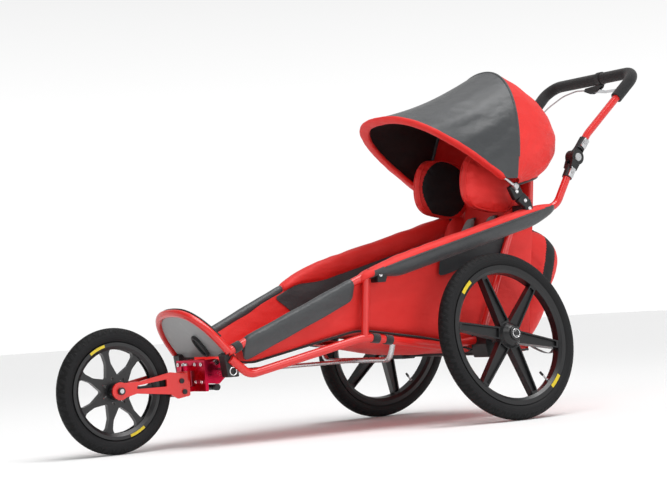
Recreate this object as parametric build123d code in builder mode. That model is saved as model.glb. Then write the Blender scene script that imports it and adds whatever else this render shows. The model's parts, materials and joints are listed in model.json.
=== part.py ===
from build123d import *
from math import cos, radians, sin
import os

# A three-wheeled running stroller. The front faces -Y, its left side is +X, the ground is Z = 0
# and the origin is below the middle of the bounding box. All sizes are in millimetres.

# ---------------------------------------------------------------- driving dimensions
wheelbase = 1145
handle_overhang = 734
brake_band = 3
front_tyre_radius = 171
front_tyre_section = 22
front_bead_radius = 128
rear_tyre_radius = 250
rear_tyre_section = 23.5
rear_bead_radius = 205.7
rear_track = 687
rear_camber = 10
frame_tube_radius = 12
handle_height = 1066
grip_radius = 19
seat_half_width = 168
canopy_length = 397
canopy_pivot_up = 695
fabric = 3
weld_gap = 0.1
soft_gap = 0.3
running_gap = 0.05

overall_length = front_tyre_radius + wheelbase + handle_overhang
front_axle_y = front_tyre_radius - overall_length / 2
rear_axle_y = front_axle_y + wheelbase


def at(x, back, up):
    """A point from its side position, its distance behind the rear axle and its height."""
    return Vector(x, rear_axle_y + back, up)


def save(builder, name):
    builder.part.label = name
    export_step(builder.part, f"parts/{name}.step")


def bent_bar(points, bends, radius):
    """Solid round bar along straight runs that tangent bends join."""
    with BuildPart() as bar:
        with BuildLine() as path:
            if bends:
                FilletPolyline(*points, radius=bends)
            else:
                Line(points[0], points[1])
        start = path.wires()[0]
        with BuildSketch(Plane(origin=start @ 0, z_dir=start % 0)):
            Circle(radius)
        sweep(path=start)
    return bar.part


def side_plane(x):
    """Plane seen from the left side: local x runs back from the rear axle, local y runs up."""
    return Plane(origin=(x, rear_axle_y, 0), x_dir=(0, 1, 0), z_dir=(1, 0, 0))


def side_slab(outline, x_low, x_high, bends=0):
    """Slab between two X positions, from an outline of (back, up) points."""
    with BuildPart() as slab:
        with BuildSketch(side_plane(x_low)) as profile:
            with BuildLine():
                Polyline(*outline, close=True)
            make_face()
            if bends:
                fillet(profile.vertices(), bends)
        extrude(amount=x_high - x_low)
    return slab.part


def between(start, end, share):
    return start + (end - start) * share


os.makedirs("parts", exist_ok=True)

# ---------------------------------------------------------------- frame stations (x, back, up)
hoop_foot = at(140, -865, 257)
knee = at(187, -408, 450)
rail_end = at(190, 335, 637)
elbow_pivot = at(190, 425, 786)
handle_knee = at(190, 488, 862)
grip_corner = at(208, handle_overhang - grip_radius - brake_band, handle_height)
lower_front = at(140, -800, 190)
lower_knee = at(187, -433, 271)
lower_rear = at(187, -150, 228)
lower_end = at(187, 33, 243)
cross_tube_axis = at(0, -849.5, 203.5)
elbow_reach = 36
elbow_disc_radius = 24
elbow_arm_length = 78

rail_direction = (rail_end - knee).normalized()
rail_rise = rail_direction.Z / rail_direction.Y


def rail_height(back):
    """Height of the upper rail's axis at a distance behind the rear axle."""
    return knee.Z + (back - (knee.Y - rear_axle_y)) * rail_rise


lower_arm = (rail_end - elbow_pivot).normalized()
rail_top = elbow_pivot + lower_arm * elbow_reach
upper_arm = (handle_knee - elbow_pivot).normalized()
handle_direction = (grip_corner - handle_knee).normalized()
handle_foot = elbow_pivot + upper_arm * elbow_reach

# ---------------------------------------------------------------- upper rails, lower rails, posts
rail_points = [hoop_foot, knee, rail_end, rail_top]
rail_bends = [150, 60]
lower_points = [
    at(140, -858, 238),
    lower_front,
    lower_knee,
    lower_rear,
    lower_end,
]
lower_bends = [45, 160, 160]
upper_rail_solid = bent_bar(rail_points, rail_bends, frame_tube_radius)
upper_rail_room = bent_bar(rail_points, rail_bends, frame_tube_radius + weld_gap)

with BuildPart() as upper_rails:
    add(upper_rail_solid)
    mirror(about=Plane.YZ)
save(upper_rails, "upper_rails")

lower_rail_solid = bent_bar(lower_points, lower_bends, frame_tube_radius)
lower_rail_room = bent_bar(lower_points, lower_bends, frame_tube_radius + weld_gap)

with BuildPart() as lower_rails:
    add(lower_rail_solid)
    add(upper_rail_room, mode=Mode.SUBTRACT)
    mirror(about=Plane.YZ)
save(lower_rails, "lower_rails")

# the rear bracket carries the upright, the lower rail's end, the axle beam and the stub axle
bracket_top = 275
bracket_bottom = 186
bracket_half_length = 32
bracket_inner_x = 174
bracket_outer_x = 242
beam_height = 205
beam_radius = 14
post_radius = 11

post_top = at(187, -417, 445)
upright_foot = at(190, 0, bracket_top - 20)
upright_top = at(190, 150, rail_height(150))
upright_room = bent_bar([upright_foot, upright_top], None, post_radius + soft_gap)

with BuildPart() as frame_posts:
    add(bent_bar([lower_knee, post_top], None, post_radius))
    add(bent_bar([upright_foot, upright_top], None, post_radius))
    add(upper_rail_room, mode=Mode.SUBTRACT)
    add(lower_rail_room, mode=Mode.SUBTRACT)
    with BuildSketch(Plane.XY.offset(bracket_top + weld_gap)):
        with Locations((upright_foot.X, upright_foot.Y)):
            Rectangle(8 * post_radius, 8 * post_radius)
    extrude(amount=-6 * post_radius, mode=Mode.SUBTRACT)
    for stray in frame_posts.solids().sort_by(SortBy.VOLUME)[:-2]:
        add(stray, mode=Mode.SUBTRACT)
    mirror(about=Plane.YZ)
save(frame_posts, "frame_posts")

# ---------------------------------------------------------------- foot hoop, footplate, foot strap
hoop_rise = Vector(0, -93, 115)
hoop_rise_direction = hoop_rise.normalized()
hoop_shoulder = 116
hoop_bend = 78
hoop_tube_radius = 11
hoop_points = [
    hoop_foot,
    Vector(hoop_shoulder, hoop_foot.Y, hoop_foot.Z) + hoop_rise,
    Vector(-hoop_shoulder, hoop_foot.Y, hoop_foot.Z) + hoop_rise,
    Vector(-hoop_foot.X, hoop_foot.Y, hoop_foot.Z),
]
with BuildPart() as foot_hoop:
    add(bent_bar(hoop_points, [hoop_bend, hoop_bend], hoop_tube_radius))
    add(upper_rail_room, mode=Mode.SUBTRACT)
    add(upper_rail_room.mirror(Plane.YZ), mode=Mode.SUBTRACT)
    for stray in foot_hoop.solids().sort_by(SortBy.VOLUME)[:-1]:
        add(stray, mode=Mode.SUBTRACT)
save(foot_hoop, "foot_hoop")

plate_thickness = 4
plate_half_width = 106
plate_length = 142
plate_drop = 14
plate_plane = Plane(
    origin=Vector(0, hoop_foot.Y, hoop_foot.Z) - hoop_rise_direction * plate_drop,
    x_dir=(1, 0, 0),
    z_dir=Vector(1, 0, 0).cross(hoop_rise_direction),
)
with BuildPart() as footplate:
    with BuildSketch(plate_plane):
        with Locations((0, plate_length / 2)):
            RectangleRounded(2 * plate_half_width, plate_length, 45)
        with Locations((0, plate_length / 4)):
            Rectangle(2 * plate_half_width + 30, plate_length / 2 - 10)
    extrude(amount=plate_thickness / 2, both=True)
    add(bent_bar(hoop_points, [hoop_bend, hoop_bend], hoop_tube_radius + weld_gap), mode=Mode.SUBTRACT)
save(footplate, "footplate")

strap_length = 74
strap_width = 34
strap_height = 16
with BuildPart() as foot_strap:
    with BuildSketch(plate_plane.offset(plate_thickness / 2 + weld_gap)):
        with Locations((34, strap_length / 2 + 6)):
            RectangleRounded(strap_width, strap_length, strap_width / 2 - 1)
    extrude(amount=strap_height)
    chamfer(foot_strap.faces().sort_by(Axis(plate_plane.origin, plate_plane.z_dir))[-1].edges(), 6)
save(foot_strap, "foot_strap")

# ---------------------------------------------------------------- front cross tube and its clamps
cross_tube_radius = 10.5
cross_tube_wall = 2.5
cross_tube_half_length = 122
with BuildPart() as cross_tube:
    with BuildSketch(Plane.YZ.offset(-cross_tube_half_length)):
        with Locations((cross_tube_axis.Y, cross_tube_axis.Z)):
            Circle(cross_tube_radius)
            Circle(cross_tube_radius - cross_tube_wall, mode=Mode.SUBTRACT)
    extrude(amount=2 * cross_tube_half_length)
save(cross_tube, "cross_tube")


def x_bar(x_low, x_high, back, up, radius):
    """Round bar along X."""
    with BuildPart() as bar:
        with BuildSketch(side_plane(x_low)):
            with Locations((back, up)):
                Circle(radius)
        extrude(amount=x_high - x_low)
    return bar.part


cross_back = cross_tube_axis.Y - rear_axle_y
cross_up = cross_tube_axis.Z
clamp_thickness = 12
clamp_places = (-62, 0, 62)
clamp_radius = 20
head_face_back = cross_back - 44
head_thickness = 10
head_half_width = 76
adjuster_radius = 4
adjuster_back = cross_back - 22
adjuster_up = cross_up + 27
clamp_outline = [
    (cross_back - 44, cross_up - 30),
    (cross_back - 4, cross_up - 34),
    (cross_back + 20, cross_up - 14),
    (cross_back + 20, cross_up + 14),
    (cross_back - 12, cross_up + 36),
    (cross_back - 44, cross_up + 34),
]
with BuildPart() as cross_tube_clamps:
    for place in clamp_places:
        add(side_slab(clamp_outline, place - clamp_thickness / 2, place + clamp_thickness / 2, 4))
    add(x_bar(-90, 90, cross_back, cross_up, cross_tube_radius + weld_gap), mode=Mode.SUBTRACT)
    add(x_bar(-90, 90, adjuster_back, adjuster_up, adjuster_radius + weld_gap), mode=Mode.SUBTRACT)
save(cross_tube_clamps, "cross_tube_clamps")

with BuildPart() as adjuster_rod:
    add(x_bar(-84, 84, adjuster_back, adjuster_up, adjuster_radius))
    add(x_bar(-90, -84, adjuster_back, adjuster_up, 2 * adjuster_radius))
    add(x_bar(84, 90, adjuster_back, adjuster_up, 2 * adjuster_radius))
save(adjuster_rod, "adjuster_rod")

# ---------------------------------------------------------------- steering head, kingpin, damper
kingpin_back = head_face_back - 27
kingpin_radius = 6
knuckle_radius = 14
knuckle_low = 152
knuckle_high = 224
knuckle_thickness = 14
with BuildPart() as steering_head:
    add(
        side_slab(
            [
                (head_face_back - weld_gap, knuckle_low),
                (head_face_back - weld_gap, cross_up + 34),
                (head_face_back - head_thickness, cross_up + 34),
                (head_face_back - head_thickness, knuckle_low),
            ],
            -head_half_width,
            head_half_width,
        )
    )
    for level in (knuckle_low, knuckle_high - knuckle_thickness):
        with BuildSketch(Plane.XY.offset(level)):
            with Locations((0, rear_axle_y + kingpin_back)):
                Circle(knuckle_radius)
            with Locations((0, rear_axle_y + (kingpin_back + head_face_back - head_thickness) / 2)):
                Rectangle(2 * knuckle_radius, head_face_back - head_thickness - kingpin_back)
        extrude(amount=knuckle_thickness)
    with BuildSketch(Plane.XY.offset(knuckle_low)):
        with Locations((0, rear_axle_y + kingpin_back)):
            Circle(kingpin_radius + weld_gap)
    extrude(amount=knuckle_high - knuckle_low, mode=Mode.SUBTRACT)
save(steering_head, "steering_head")

with BuildPart() as kingpin:
    with BuildSketch(Plane.XY.offset(knuckle_low - 6)):
        with Locations((0, rear_axle_y + kingpin_back)):
            Circle(kingpin_radius)
    extrude(amount=knuckle_high - knuckle_low + 6)
    with BuildSketch(Plane.XY.offset(knuckle_high + weld_gap)):
        with Locations((0, rear_axle_y + kingpin_back)):
            Circle(kingpin_radius + 4)
    extrude(amount=6)
    with BuildSketch(Plane.XY.offset(knuckle_high - 1)):
        with Locations((0, rear_axle_y + kingpin_back)):
            Circle(kingpin_radius)
    extrude(amount=4)
save(kingpin, "kingpin")

damper_radius = 8
damper_back = cross_back - 20
damper_up = cross_up - 34 - damper_radius
with BuildPart() as tracking_damper:
    add(x_bar(-44, 64, damper_back, damper_up, damper_radius))
    add(x_bar(64 - weld_gap, 74, damper_back, damper_up, 3))
    add(x_bar(-54, -44 + weld_gap, damper_back, damper_up, 3))
    add(x_bar(74 - weld_gap, 84, damper_back, damper_up, 9))
    add(x_bar(-64, -54 + weld_gap, damper_back, damper_up, 9))
save(tracking_damper, "tracking_damper")

bracket_width = 14
bracket_x = cross_tube_half_length - bracket_width
knee_bracket_back = -388
knee_bracket_length = 40
with BuildPart() as frame_brackets:
    add(
        side_slab(
            [
                (cross_back - 18, cross_up - 16),
                (cross_back + 18, cross_up - 16),
                (cross_back + 14, cross_up + 30),
                (hoop_foot.Y - rear_axle_y + 16, hoop_foot.Z + 2),
                (hoop_foot.Y - rear_axle_y - 12, hoop_foot.Z - 6),
            ],
            bracket_x,
            hoop_foot.X - 2,
            4,
        )
    )
    add(x_bar(80, 160, cross_back, cross_up, cross_tube_radius + weld_gap), mode=Mode.SUBTRACT)
    add(
        side_slab(
            [
                (knee_bracket_back, rail_height(knee_bracket_back) - 30),
                (knee_bracket_back + knee_bracket_length - 12, rail_height(knee_bracket_back) - 30),
                (knee_bracket_back + knee_bracket_length, rail_height(knee_bracket_back)),
                (knee_bracket_back + knee_bracket_length, rail_height(knee_bracket_back) + 16),
                (knee_bracket_back, rail_height(knee_bracket_back) + 12),
            ],
            knee.X - 15,
            knee.X + 18,
            3,
        )
    )
    add(bent_bar([knee, rail_end], None, frame_tube_radius + weld_gap), mode=Mode.SUBTRACT)
    add(upper_rail_room, mode=Mode.SUBTRACT)
    add(lower_rail_room, mode=Mode.SUBTRACT)
    add(bent_bar(hoop_points, [hoop_bend, hoop_bend], hoop_tube_radius + weld_gap), mode=Mode.SUBTRACT)
    add(bent_bar([lower_knee, post_top], None, post_radius + weld_gap), mode=Mode.SUBTRACT)
    add(footplate.part, mode=Mode.SUBTRACT)
    for stray in frame_brackets.solids().sort_by(SortBy.VOLUME)[:-2]:
        add(stray, mode=Mode.SUBTRACT)
    mirror(about=Plane.YZ)
save(frame_brackets, "frame_brackets")

# ---------------------------------------------------------------- fork and front axle
fork_plate_thickness = 6
fork_inner_x = 32
front_axle_radius = 6
axle_back = -wheelbase
axle_up = front_tyre_radius
fork_rear_back = kingpin_back - 10
fork_outline = [
    (axle_back + 2, axle_up + 21),
    (axle_back + 60, axle_up + 22),
    (fork_rear_back - 60, axle_up + 40),
    (fork_rear_back - 30, axle_up + 36),
    (fork_rear_back, axle_up + 10),
    (fork_rear_back, axle_up - 28),
    (fork_rear_back - 38, axle_up - 34),
    (fork_rear_back - 62, axle_up - 20),
    (axle_back + 50, axle_up - 10),
    (axle_back + 2, axle_up - 21),
]
slot_outline = [
    (axle_back + 48, axle_up + 2),
    (axle_back + 52, axle_up + 11),
    (fork_rear_back - 72, axle_up + 22),
    (fork_rear_back - 72, axle_up + 2),
]
fork_bolts = ((fork_rear_back - 18, axle_up - 16), (fork_rear_back - 26, axle_up + 14))
with BuildPart() as fork_plates:
    add(side_slab(fork_outline, fork_inner_x, fork_inner_x + fork_plate_thickness, 5))
    add(x_bar(fork_inner_x, fork_inner_x + fork_plate_thickness, axle_back, axle_up, 24))
    add(side_slab(slot_outline, fork_inner_x, fork_inner_x + fork_plate_thickness, 3), mode=Mode.SUBTRACT)
    add(x_bar(0, 60, axle_back, axle_up, front_axle_radius + weld_gap), mode=Mode.SUBTRACT)
    for back, up in fork_bolts:
        add(x_bar(0, 60, back, up, 4 + weld_gap), mode=Mode.SUBTRACT)
    mirror(about=Plane.YZ)
save(fork_plates, "fork_plates")

bridge_front_back = axle_back + front_tyre_radius + 10
bridge_low = axle_up - 30
bridge_high = axle_up + 34
with BuildPart() as fork_bridge:
    add(
        side_slab(
            [
                (bridge_front_back, bridge_low),
                (bridge_front_back, bridge_high),
                (fork_rear_back - 3, bridge_high),
                (fork_rear_back - 3, bridge_low),
            ],
            weld_gap - fork_inner_x,
            fork_inner_x - weld_gap,
        )
    )
    for back, up in fork_bolts:
        add(x_bar(-60, 60, back, up, 4 + weld_gap), mode=Mode.SUBTRACT)
    with BuildSketch(Plane.XY.offset(bridge_low)):
        with Locations((0, rear_axle_y + kingpin_back)):
            Circle(knuckle_radius + 1.5)
    extrude(amount=bridge_high - bridge_low, mode=Mode.SUBTRACT)
    with BuildSketch(Plane.XY.offset(knuckle_low + knuckle_thickness + 0.5)):
        with Locations((0, rear_axle_y + kingpin_back)):
            Circle(knuckle_radius)
        with Locations((0, rear_axle_y + kingpin_back - 12)):
            Rectangle(18, 24)
    extrude(amount=knuckle_high - knuckle_low - 2 * knuckle_thickness - 1)
    with BuildSketch(Plane.XY.offset(knuckle_low)):
        with Locations((0, rear_axle_y + kingpin_back)):
            Circle(kingpin_radius + running_gap)
    extrude(amount=knuckle_high - knuckle_low, mode=Mode.SUBTRACT)
save(fork_bridge, "fork_bridge")

with BuildPart() as front_axle:
    add(x_bar(-46, 46, axle_back, axle_up, front_axle_radius))
save(front_axle, "front_axle")

with BuildPart() as fork_fasteners:
    add(x_bar(fork_inner_x + fork_plate_thickness + weld_gap, 46, axle_back, axle_up, 10))
    add(x_bar(0, 60, axle_back, axle_up, front_axle_radius + weld_gap), mode=Mode.SUBTRACT)
    mirror(about=Plane.YZ)
    for back, up in fork_bolts:
        add(x_bar(-38, 38, back, up, 4))
        add(x_bar(38 + weld_gap, 42, back, up, 7))
        add(x_bar(37, 39, back, up, 4))
        add(x_bar(-42, -38 - weld_gap, back, up, 7))
        add(x_bar(-39, -37, back, up, 4))
save(fork_fasteners, "fork_fasteners")


# ---------------------------------------------------------------- wheels
def wheel_frame(centre, axis):
    """Plane through a wheel's middle whose normal is its axle."""
    return Plane(origin=centre, x_dir=(0, 1, 0), z_dir=axis)


def turned(frame, outline, bends=0):
    """Solid of revolution about a wheel frame's axis, from (radius, outward) points."""
    section = Plane(origin=frame.origin, x_dir=frame.x_dir, z_dir=frame.x_dir.cross(frame.z_dir))
    with BuildPart() as ring:
        with BuildSketch(section) as profile:
            with BuildLine():
                Polyline(*outline, close=True)
            make_face()
            if bends:
                fillet(profile.vertices(), bends)
        revolve(axis=Axis(frame.origin, frame.z_dir))
    return ring.part


def tyre(frame, outer_radius, section_radius, bead_radius):
    """Round tyre that sits on the rim's bead."""
    section = Plane(origin=frame.origin, x_dir=frame.x_dir, z_dir=frame.x_dir.cross(frame.z_dir))
    middle = outer_radius - section_radius
    with BuildPart() as ring:
        with BuildSketch(section):
            with Locations((middle, 0)):
                Circle(section_radius)
            with Locations((bead_radius + soft_gap - section_radius, 0)):
                Rectangle(2 * section_radius, 2 * section_radius, mode=Mode.SUBTRACT)
        revolve(axis=Axis(frame.origin, frame.z_dir))
    return ring.part


def rim_ring(frame, bead_radius, inner_radius, half_width):
    """Rim with two flanges round the tyre's bead."""
    return turned(
        frame,
        [
            (inner_radius, -half_width + 7),
            (inner_radius, half_width - 7),
            (inner_radius + 9, half_width),
            (bead_radius + 3.3, half_width),
            (bead_radius + 3.3, half_width - 2.5),
            (bead_radius, half_width - 5),
            (bead_radius, -half_width + 5),
            (bead_radius + 3.3, -half_width + 2.5),
            (bead_radius + 3.3, -half_width),
            (inner_radius + 9, -half_width),
        ],
    )


front_frame = wheel_frame((0, front_axle_y, front_tyre_radius), (1, 0, 0))
front_rim_inner = 113
front_rim_half_width = 18
front_hub_radius = 24
front_hub_half_width = 29
front_spokes = 7
front_bearing_radius = 14
front_bearing_width = 8
window_step = 360 / front_spokes
with BuildPart() as front_rim:
    add(rim_ring(front_frame, front_bead_radius, front_rim_inner, front_rim_half_width))
    with BuildSketch(front_frame.offset(-8)):
        Circle(front_rim_inner + 1)
    extrude(amount=16)
    with BuildSketch(front_frame.offset(-8)) as windows:
        for spoke in range(front_spokes):
            with BuildSketch(mode=Mode.PRIVATE) as window:
                with BuildLine():
                    Polyline((42, 0), (72, 27), (112, 43), (118, 0), (112, -43), (72, -27), close=True)
                make_face()
                fillet(window.vertices().sort_by(Axis.X)[0], 6)
                fillet(window.vertices().filter_by_position(Axis.X, 60, 80), 22)
                fillet(window.vertices().filter_by_position(Axis.X, 111, 113), 16)
            with BuildSketch(mode=Mode.PRIVATE) as hole:
                with BuildLine():
                    Polyline((30, -5), (30, 5), (46, 0), close=True)
                make_face()
                fillet(hole.vertices(), 1.5)
            add(window.sketch.rotate(Axis.Z, (spoke + 0.5) * window_step))
            add(hole.sketch.rotate(Axis.Z, spoke * window_step))
    extrude(amount=16, mode=Mode.SUBTRACT)
    with BuildSketch(front_frame.offset(-front_hub_half_width)):
        Circle(front_hub_radius)
    extrude(amount=2 * front_hub_half_width)
    with BuildSketch(front_frame.offset(-40)):
        Circle(front_axle_radius + 3)
    extrude(amount=80, mode=Mode.SUBTRACT)
    for end in (-front_hub_half_width, front_hub_half_width - front_bearing_width):
        with BuildSketch(front_frame.offset(end)):
            Circle(front_bearing_radius + weld_gap)
        extrude(amount=front_bearing_width, mode=Mode.SUBTRACT)
save(front_rim, "front_rim")

with BuildPart() as front_tyre:
    add(tyre(front_frame, front_tyre_radius, front_tyre_section, front_bead_radius))
save(front_tyre, "front_tyre")

with BuildPart() as front_bearings:
    for end in (-front_hub_half_width, front_hub_half_width - front_bearing_width):
        with BuildSketch(front_frame.offset(end)):
            Circle(front_bearing_radius)
            Circle(front_axle_radius + running_gap, mode=Mode.SUBTRACT)
        extrude(amount=front_bearing_width)
save(front_bearings, "front_bearings")

rear_centre_radius = rear_tyre_radius - rear_tyre_section
rear_hub_x = rear_track / 2 - rear_centre_radius * sin(radians(rear_camber))
rear_hub_z = rear_tyre_section + rear_centre_radius * cos(radians(rear_camber))
rear_rim_inner = 187
rear_rim_half_width = 19.5
rear_hub_inner = -34
rear_hub_outer = 36
rear_spokes = 6
rear_spoke_step = 360 / rear_spokes
rear_spoke_turn = 48
spoke_root = 20
spoke_tip = 11
spoke_depth = 24
spoke_wall = 4.5
stub_radius = 8.5
rear_bearing_radius = 17.5
rear_bearing_width = 11
cap_height = 5
cap_radius = 15
button_radius = 7
button_travel = 4
button_bore = 9


def rear_frame(side):
    tilt = radians(rear_camber)
    centre = (side * rear_hub_x, rear_axle_y, rear_hub_z)
    return wheel_frame(centre, (side * cos(tilt), 0, sin(tilt)))


def spoke_outline(inset):
    """Tapered spoke from the hub to the rim, drawn along local X."""
    return [
        (18, spoke_root - inset),
        (rear_rim_inner + 3, spoke_tip - inset),
        (rear_rim_inner + 3, inset - spoke_tip),
        (18, inset - spoke_root),
    ]


def rear_rim(frame, turn):
    with BuildPart() as rim:
        add(rim_ring(frame, rear_bead_radius, rear_rim_inner, rear_rim_half_width))
        with BuildSketch(frame.offset(-spoke_depth / 2)):
            for spoke in range(rear_spokes):
                with BuildSketch(mode=Mode.PRIVATE) as blade:
                    with BuildLine():
                        Polyline(*spoke_outline(0), close=True)
                    make_face()
                add(blade.sketch.rotate(Axis.Z, turn + spoke * rear_spoke_step))
        extrude(amount=spoke_depth)
        for level, depth in ((spoke_depth / 2, -7), (-spoke_depth / 2, 7)):
            with BuildSketch(frame.offset(level)):
                for spoke in range(rear_spokes):
                    with BuildSketch(mode=Mode.PRIVATE) as channel:
                        with BuildLine():
                            Polyline(*spoke_outline(spoke_wall), close=True)
                        make_face()
                        with Locations((rear_rim_inner, 0)):
                            Rectangle(16, 60, mode=Mode.SUBTRACT)
                        with Locations((20, 0)):
                            Rectangle(44, 60, mode=Mode.SUBTRACT)
                    add(channel.sketch.rotate(Axis.Z, turn + spoke * rear_spoke_step))
            extrude(amount=depth, mode=Mode.SUBTRACT)
        add(
            turned(
                frame,
                [
                    (0, rear_hub_inner),
                    (26, rear_hub_inner),
                    (30, -14),
                    (40, -9),
                    (40, 10),
                    (34, 22),
                    (26, 32),
                    (22, rear_hub_outer),
                    (0, rear_hub_outer),
                ],
            )
        )
        with BuildSketch(frame.offset(-60)):
            Circle(stub_radius + 3)
        extrude(amount=120, mode=Mode.SUBTRACT)
        for end in (rear_hub_inner, rear_hub_outer - rear_bearing_width):
            with BuildSketch(frame.offset(end)):
                Circle(rear_bearing_radius + weld_gap)
            extrude(amount=rear_bearing_width, mode=Mode.SUBTRACT)
    return rim.part


def rear_bearings(frame):
    with BuildPart() as rings:
        for end in (rear_hub_inner, rear_hub_outer - rear_bearing_width):
            with BuildSketch(frame.offset(end)):
                Circle(rear_bearing_radius)
                Circle(stub_radius + running_gap, mode=Mode.SUBTRACT)
            extrude(amount=rear_bearing_width)
    return rings.part


def hub_cap(frame):
    with BuildPart() as ring:
        with BuildSketch(frame.offset(rear_hub_outer + weld_gap)):
            Circle(cap_radius + 5)
            Circle(stub_radius + 1, mode=Mode.SUBTRACT)
        extrude(amount=cap_height)
        chamfer(ring.faces().sort_by(Axis(frame.origin, frame.z_dir))[-1].edges(), 1.2)
    return ring.part


def release_button(frame):
    with BuildPart() as button:
        with BuildSketch(frame.offset(rear_hub_outer + cap_height - 8)):
            Circle(button_radius)
        extrude(amount=8 + 3)
        chamfer(button.faces().sort_by(Axis(frame.origin, frame.z_dir))[-1].edges(), 1.5)
    return button.part


for side, side_name in ((1, "left"), (-1, "right")):
    with BuildPart() as rim_part:
        add(rear_rim(rear_frame(side), side * rear_spoke_turn))
    save(rim_part, f"rear_rim_{side_name}")
    with BuildPart() as tyre_part:
        add(tyre(rear_frame(side), rear_tyre_radius, rear_tyre_section, rear_bead_radius))
    save(tyre_part, f"rear_tyre_{side_name}")
    with BuildPart() as bearing_part:
        add(rear_bearings(rear_frame(side)))
    save(bearing_part, f"rear_bearings_{side_name}")
    with BuildPart() as cap_part:
        add(hub_cap(rear_frame(side)))
    save(cap_part, f"hub_cap_{side_name}")
    with BuildPart() as button_part:
        add(release_button(rear_frame(side)))
    save(button_part, f"release_button_{side_name}")

# ---------------------------------------------------------------- rear axle
stub_inner = -72
stub_outer = rear_hub_outer + cap_height - 1
with BuildPart() as stub_axles:
    with BuildSketch(rear_frame(1).offset(stub_inner)):
        Circle(stub_radius)
    extrude(amount=stub_outer - stub_inner)
    with BuildSketch(rear_frame(1).offset(stub_outer - 8 - button_travel)):
        Circle(button_radius + running_gap)
    extrude(amount=20, mode=Mode.SUBTRACT)
    mirror(about=Plane.YZ)
save(stub_axles, "stub_axles")

with BuildPart() as axle_brackets:
    add(
        side_slab(
            [
                (8 - bracket_half_length, bracket_bottom),
                (bracket_half_length - 8, bracket_bottom),
                (bracket_half_length, bracket_bottom + 40),
                (bracket_half_length - 8, bracket_top),
                (8 - bracket_half_length, bracket_top),
                (-bracket_half_length, bracket_bottom + 40),
            ],
            bracket_inner_x,
            bracket_outer_x,
            6,
        )
    )
    add(x_bar(bracket_inner_x - 5, 212, 0, beam_height, beam_radius + weld_gap), mode=Mode.SUBTRACT)
    add(lower_rail_room, mode=Mode.SUBTRACT)
    with BuildSketch(rear_frame(1).offset(stub_inner - weld_gap)):
        Circle(stub_radius + weld_gap)
    extrude(amount=60, mode=Mode.SUBTRACT)
    mirror(about=Plane.YZ)
save(axle_brackets, "axle_brackets")

with BuildPart() as axle_beam:
    add(x_bar(-211, 211, 0, beam_height, beam_radius))
save(axle_beam, "axle_beam")

# ---------------------------------------------------------------- keel strut and its brace
strut_radius = 6
brace_back = -330
brace_up = 200
with BuildPart() as keel_strut:
    add(
        bent_bar(
            [
                at(187, brace_back, 262),
                at(160, brace_back, brace_up),
                at(-160, brace_back, brace_up),
                at(-187, brace_back, 262),
            ],
            [30, 30],
            strut_radius + 2,
        )
    )
    add(bent_bar([at(0, cross_back + 20 + weld_gap, 198), at(0, brace_back, brace_up)], None, strut_radius))
    add(lower_rail_room, mode=Mode.SUBTRACT)
    add(lower_rail_room.mirror(Plane.YZ), mode=Mode.SUBTRACT)
    for stray in keel_strut.solids().sort_by(SortBy.VOLUME)[:-1]:
        add(stray, mode=Mode.SUBTRACT)
save(keel_strut, "keel_strut")

# ---------------------------------------------------------------- seat tub
bolster_half_width = 26
bolster_half_height = 28
back_foot = Vector(0, 205, 187)
back_direction = Vector(0, 57, 513).normalized()
back_forward = Vector(0, -back_direction.Z, back_direction.Y)
tub_rear_back = 232
tub_front_back = -826
tub_floor = [(tub_front_back, 230), (-785, 216), (-433, 289), (-160, 245), (30, back_foot.Z)]
tub_top_gap = bolster_half_height + soft_gap


def back_point(along, forward):
    """Point on the backrest's side view: distance up the back wall and forward of it."""
    spot = back_foot + back_direction * along + back_forward * forward
    return (spot.Y, spot.Z)


def rail_line(back):
    """Underside of the bolster, or of the leg sleeve ahead of the knee."""
    if back >= knee.Y - rear_axle_y:
        return rail_height(back) - tub_top_gap / cos(0.246)
    share = (back - (hoop_foot.Y - rear_axle_y)) / (knee.Y - hoop_foot.Y)
    return hoop_foot.Z + share * (knee.Z - hoop_foot.Z) - tub_top_gap


tub_back_top = (rail_line(tub_rear_back) - back_foot.Z) / back_direction.Z
tub_outline = [
    *tub_floor,
    back_point(0, 0),
    back_point(tub_back_top, 0),
    (knee.Y - rear_axle_y, rail_line(knee.Y - rear_axle_y) - 4),
    (tub_front_back, rail_line(tub_front_back) + 14),
]
seat_base_up = beam_height + beam_radius + soft_gap + fabric
tub_room = [
    (-860, 236 + fabric),
    *[(back, up + fabric) for back, up in tub_floor[1:4]],
    (-beam_radius - 14, seat_base_up + 4),
    (beam_radius + 10, seat_base_up),
    back_point((seat_base_up - back_foot.Z) / back_direction.Z, fabric),
    back_point(tub_back_top + 60, fabric),
    (-860, 640),
]


def tub_plan(inset):
    """Half-width of the tub from above, narrower towards the feet."""
    wide = seat_half_width - inset
    narrow = 104 - inset
    return [
        (narrow, rear_axle_y - 870),
        (wide, rear_axle_y - 408),
        (wide, rear_axle_y + 400),
        (-wide, rear_axle_y + 400),
        (-wide, rear_axle_y - 408),
        (-narrow, rear_axle_y - 870),
    ]


with BuildPart() as tub_space:
    add(side_slab(tub_room, -300, 300))
    with BuildSketch(Plane.XY.offset(100)):
        with BuildLine():
            Polyline(*tub_plan(fabric), close=True)
        make_face()
    extrude(amount=700, mode=Mode.INTERSECT)

with BuildPart() as tub:
    add(side_slab(tub_outline, -300, 300))
    with BuildSketch(Plane.XY.offset(100)):
        with BuildLine():
            Polyline(*tub_plan(0), close=True)
        make_face()
    extrude(amount=700, mode=Mode.INTERSECT)
    add(tub_space.part, mode=Mode.SUBTRACT)
    add(x_bar(-200, 200, 0, beam_height, beam_radius + soft_gap), mode=Mode.SUBTRACT)
save(tub, "tub")

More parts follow.
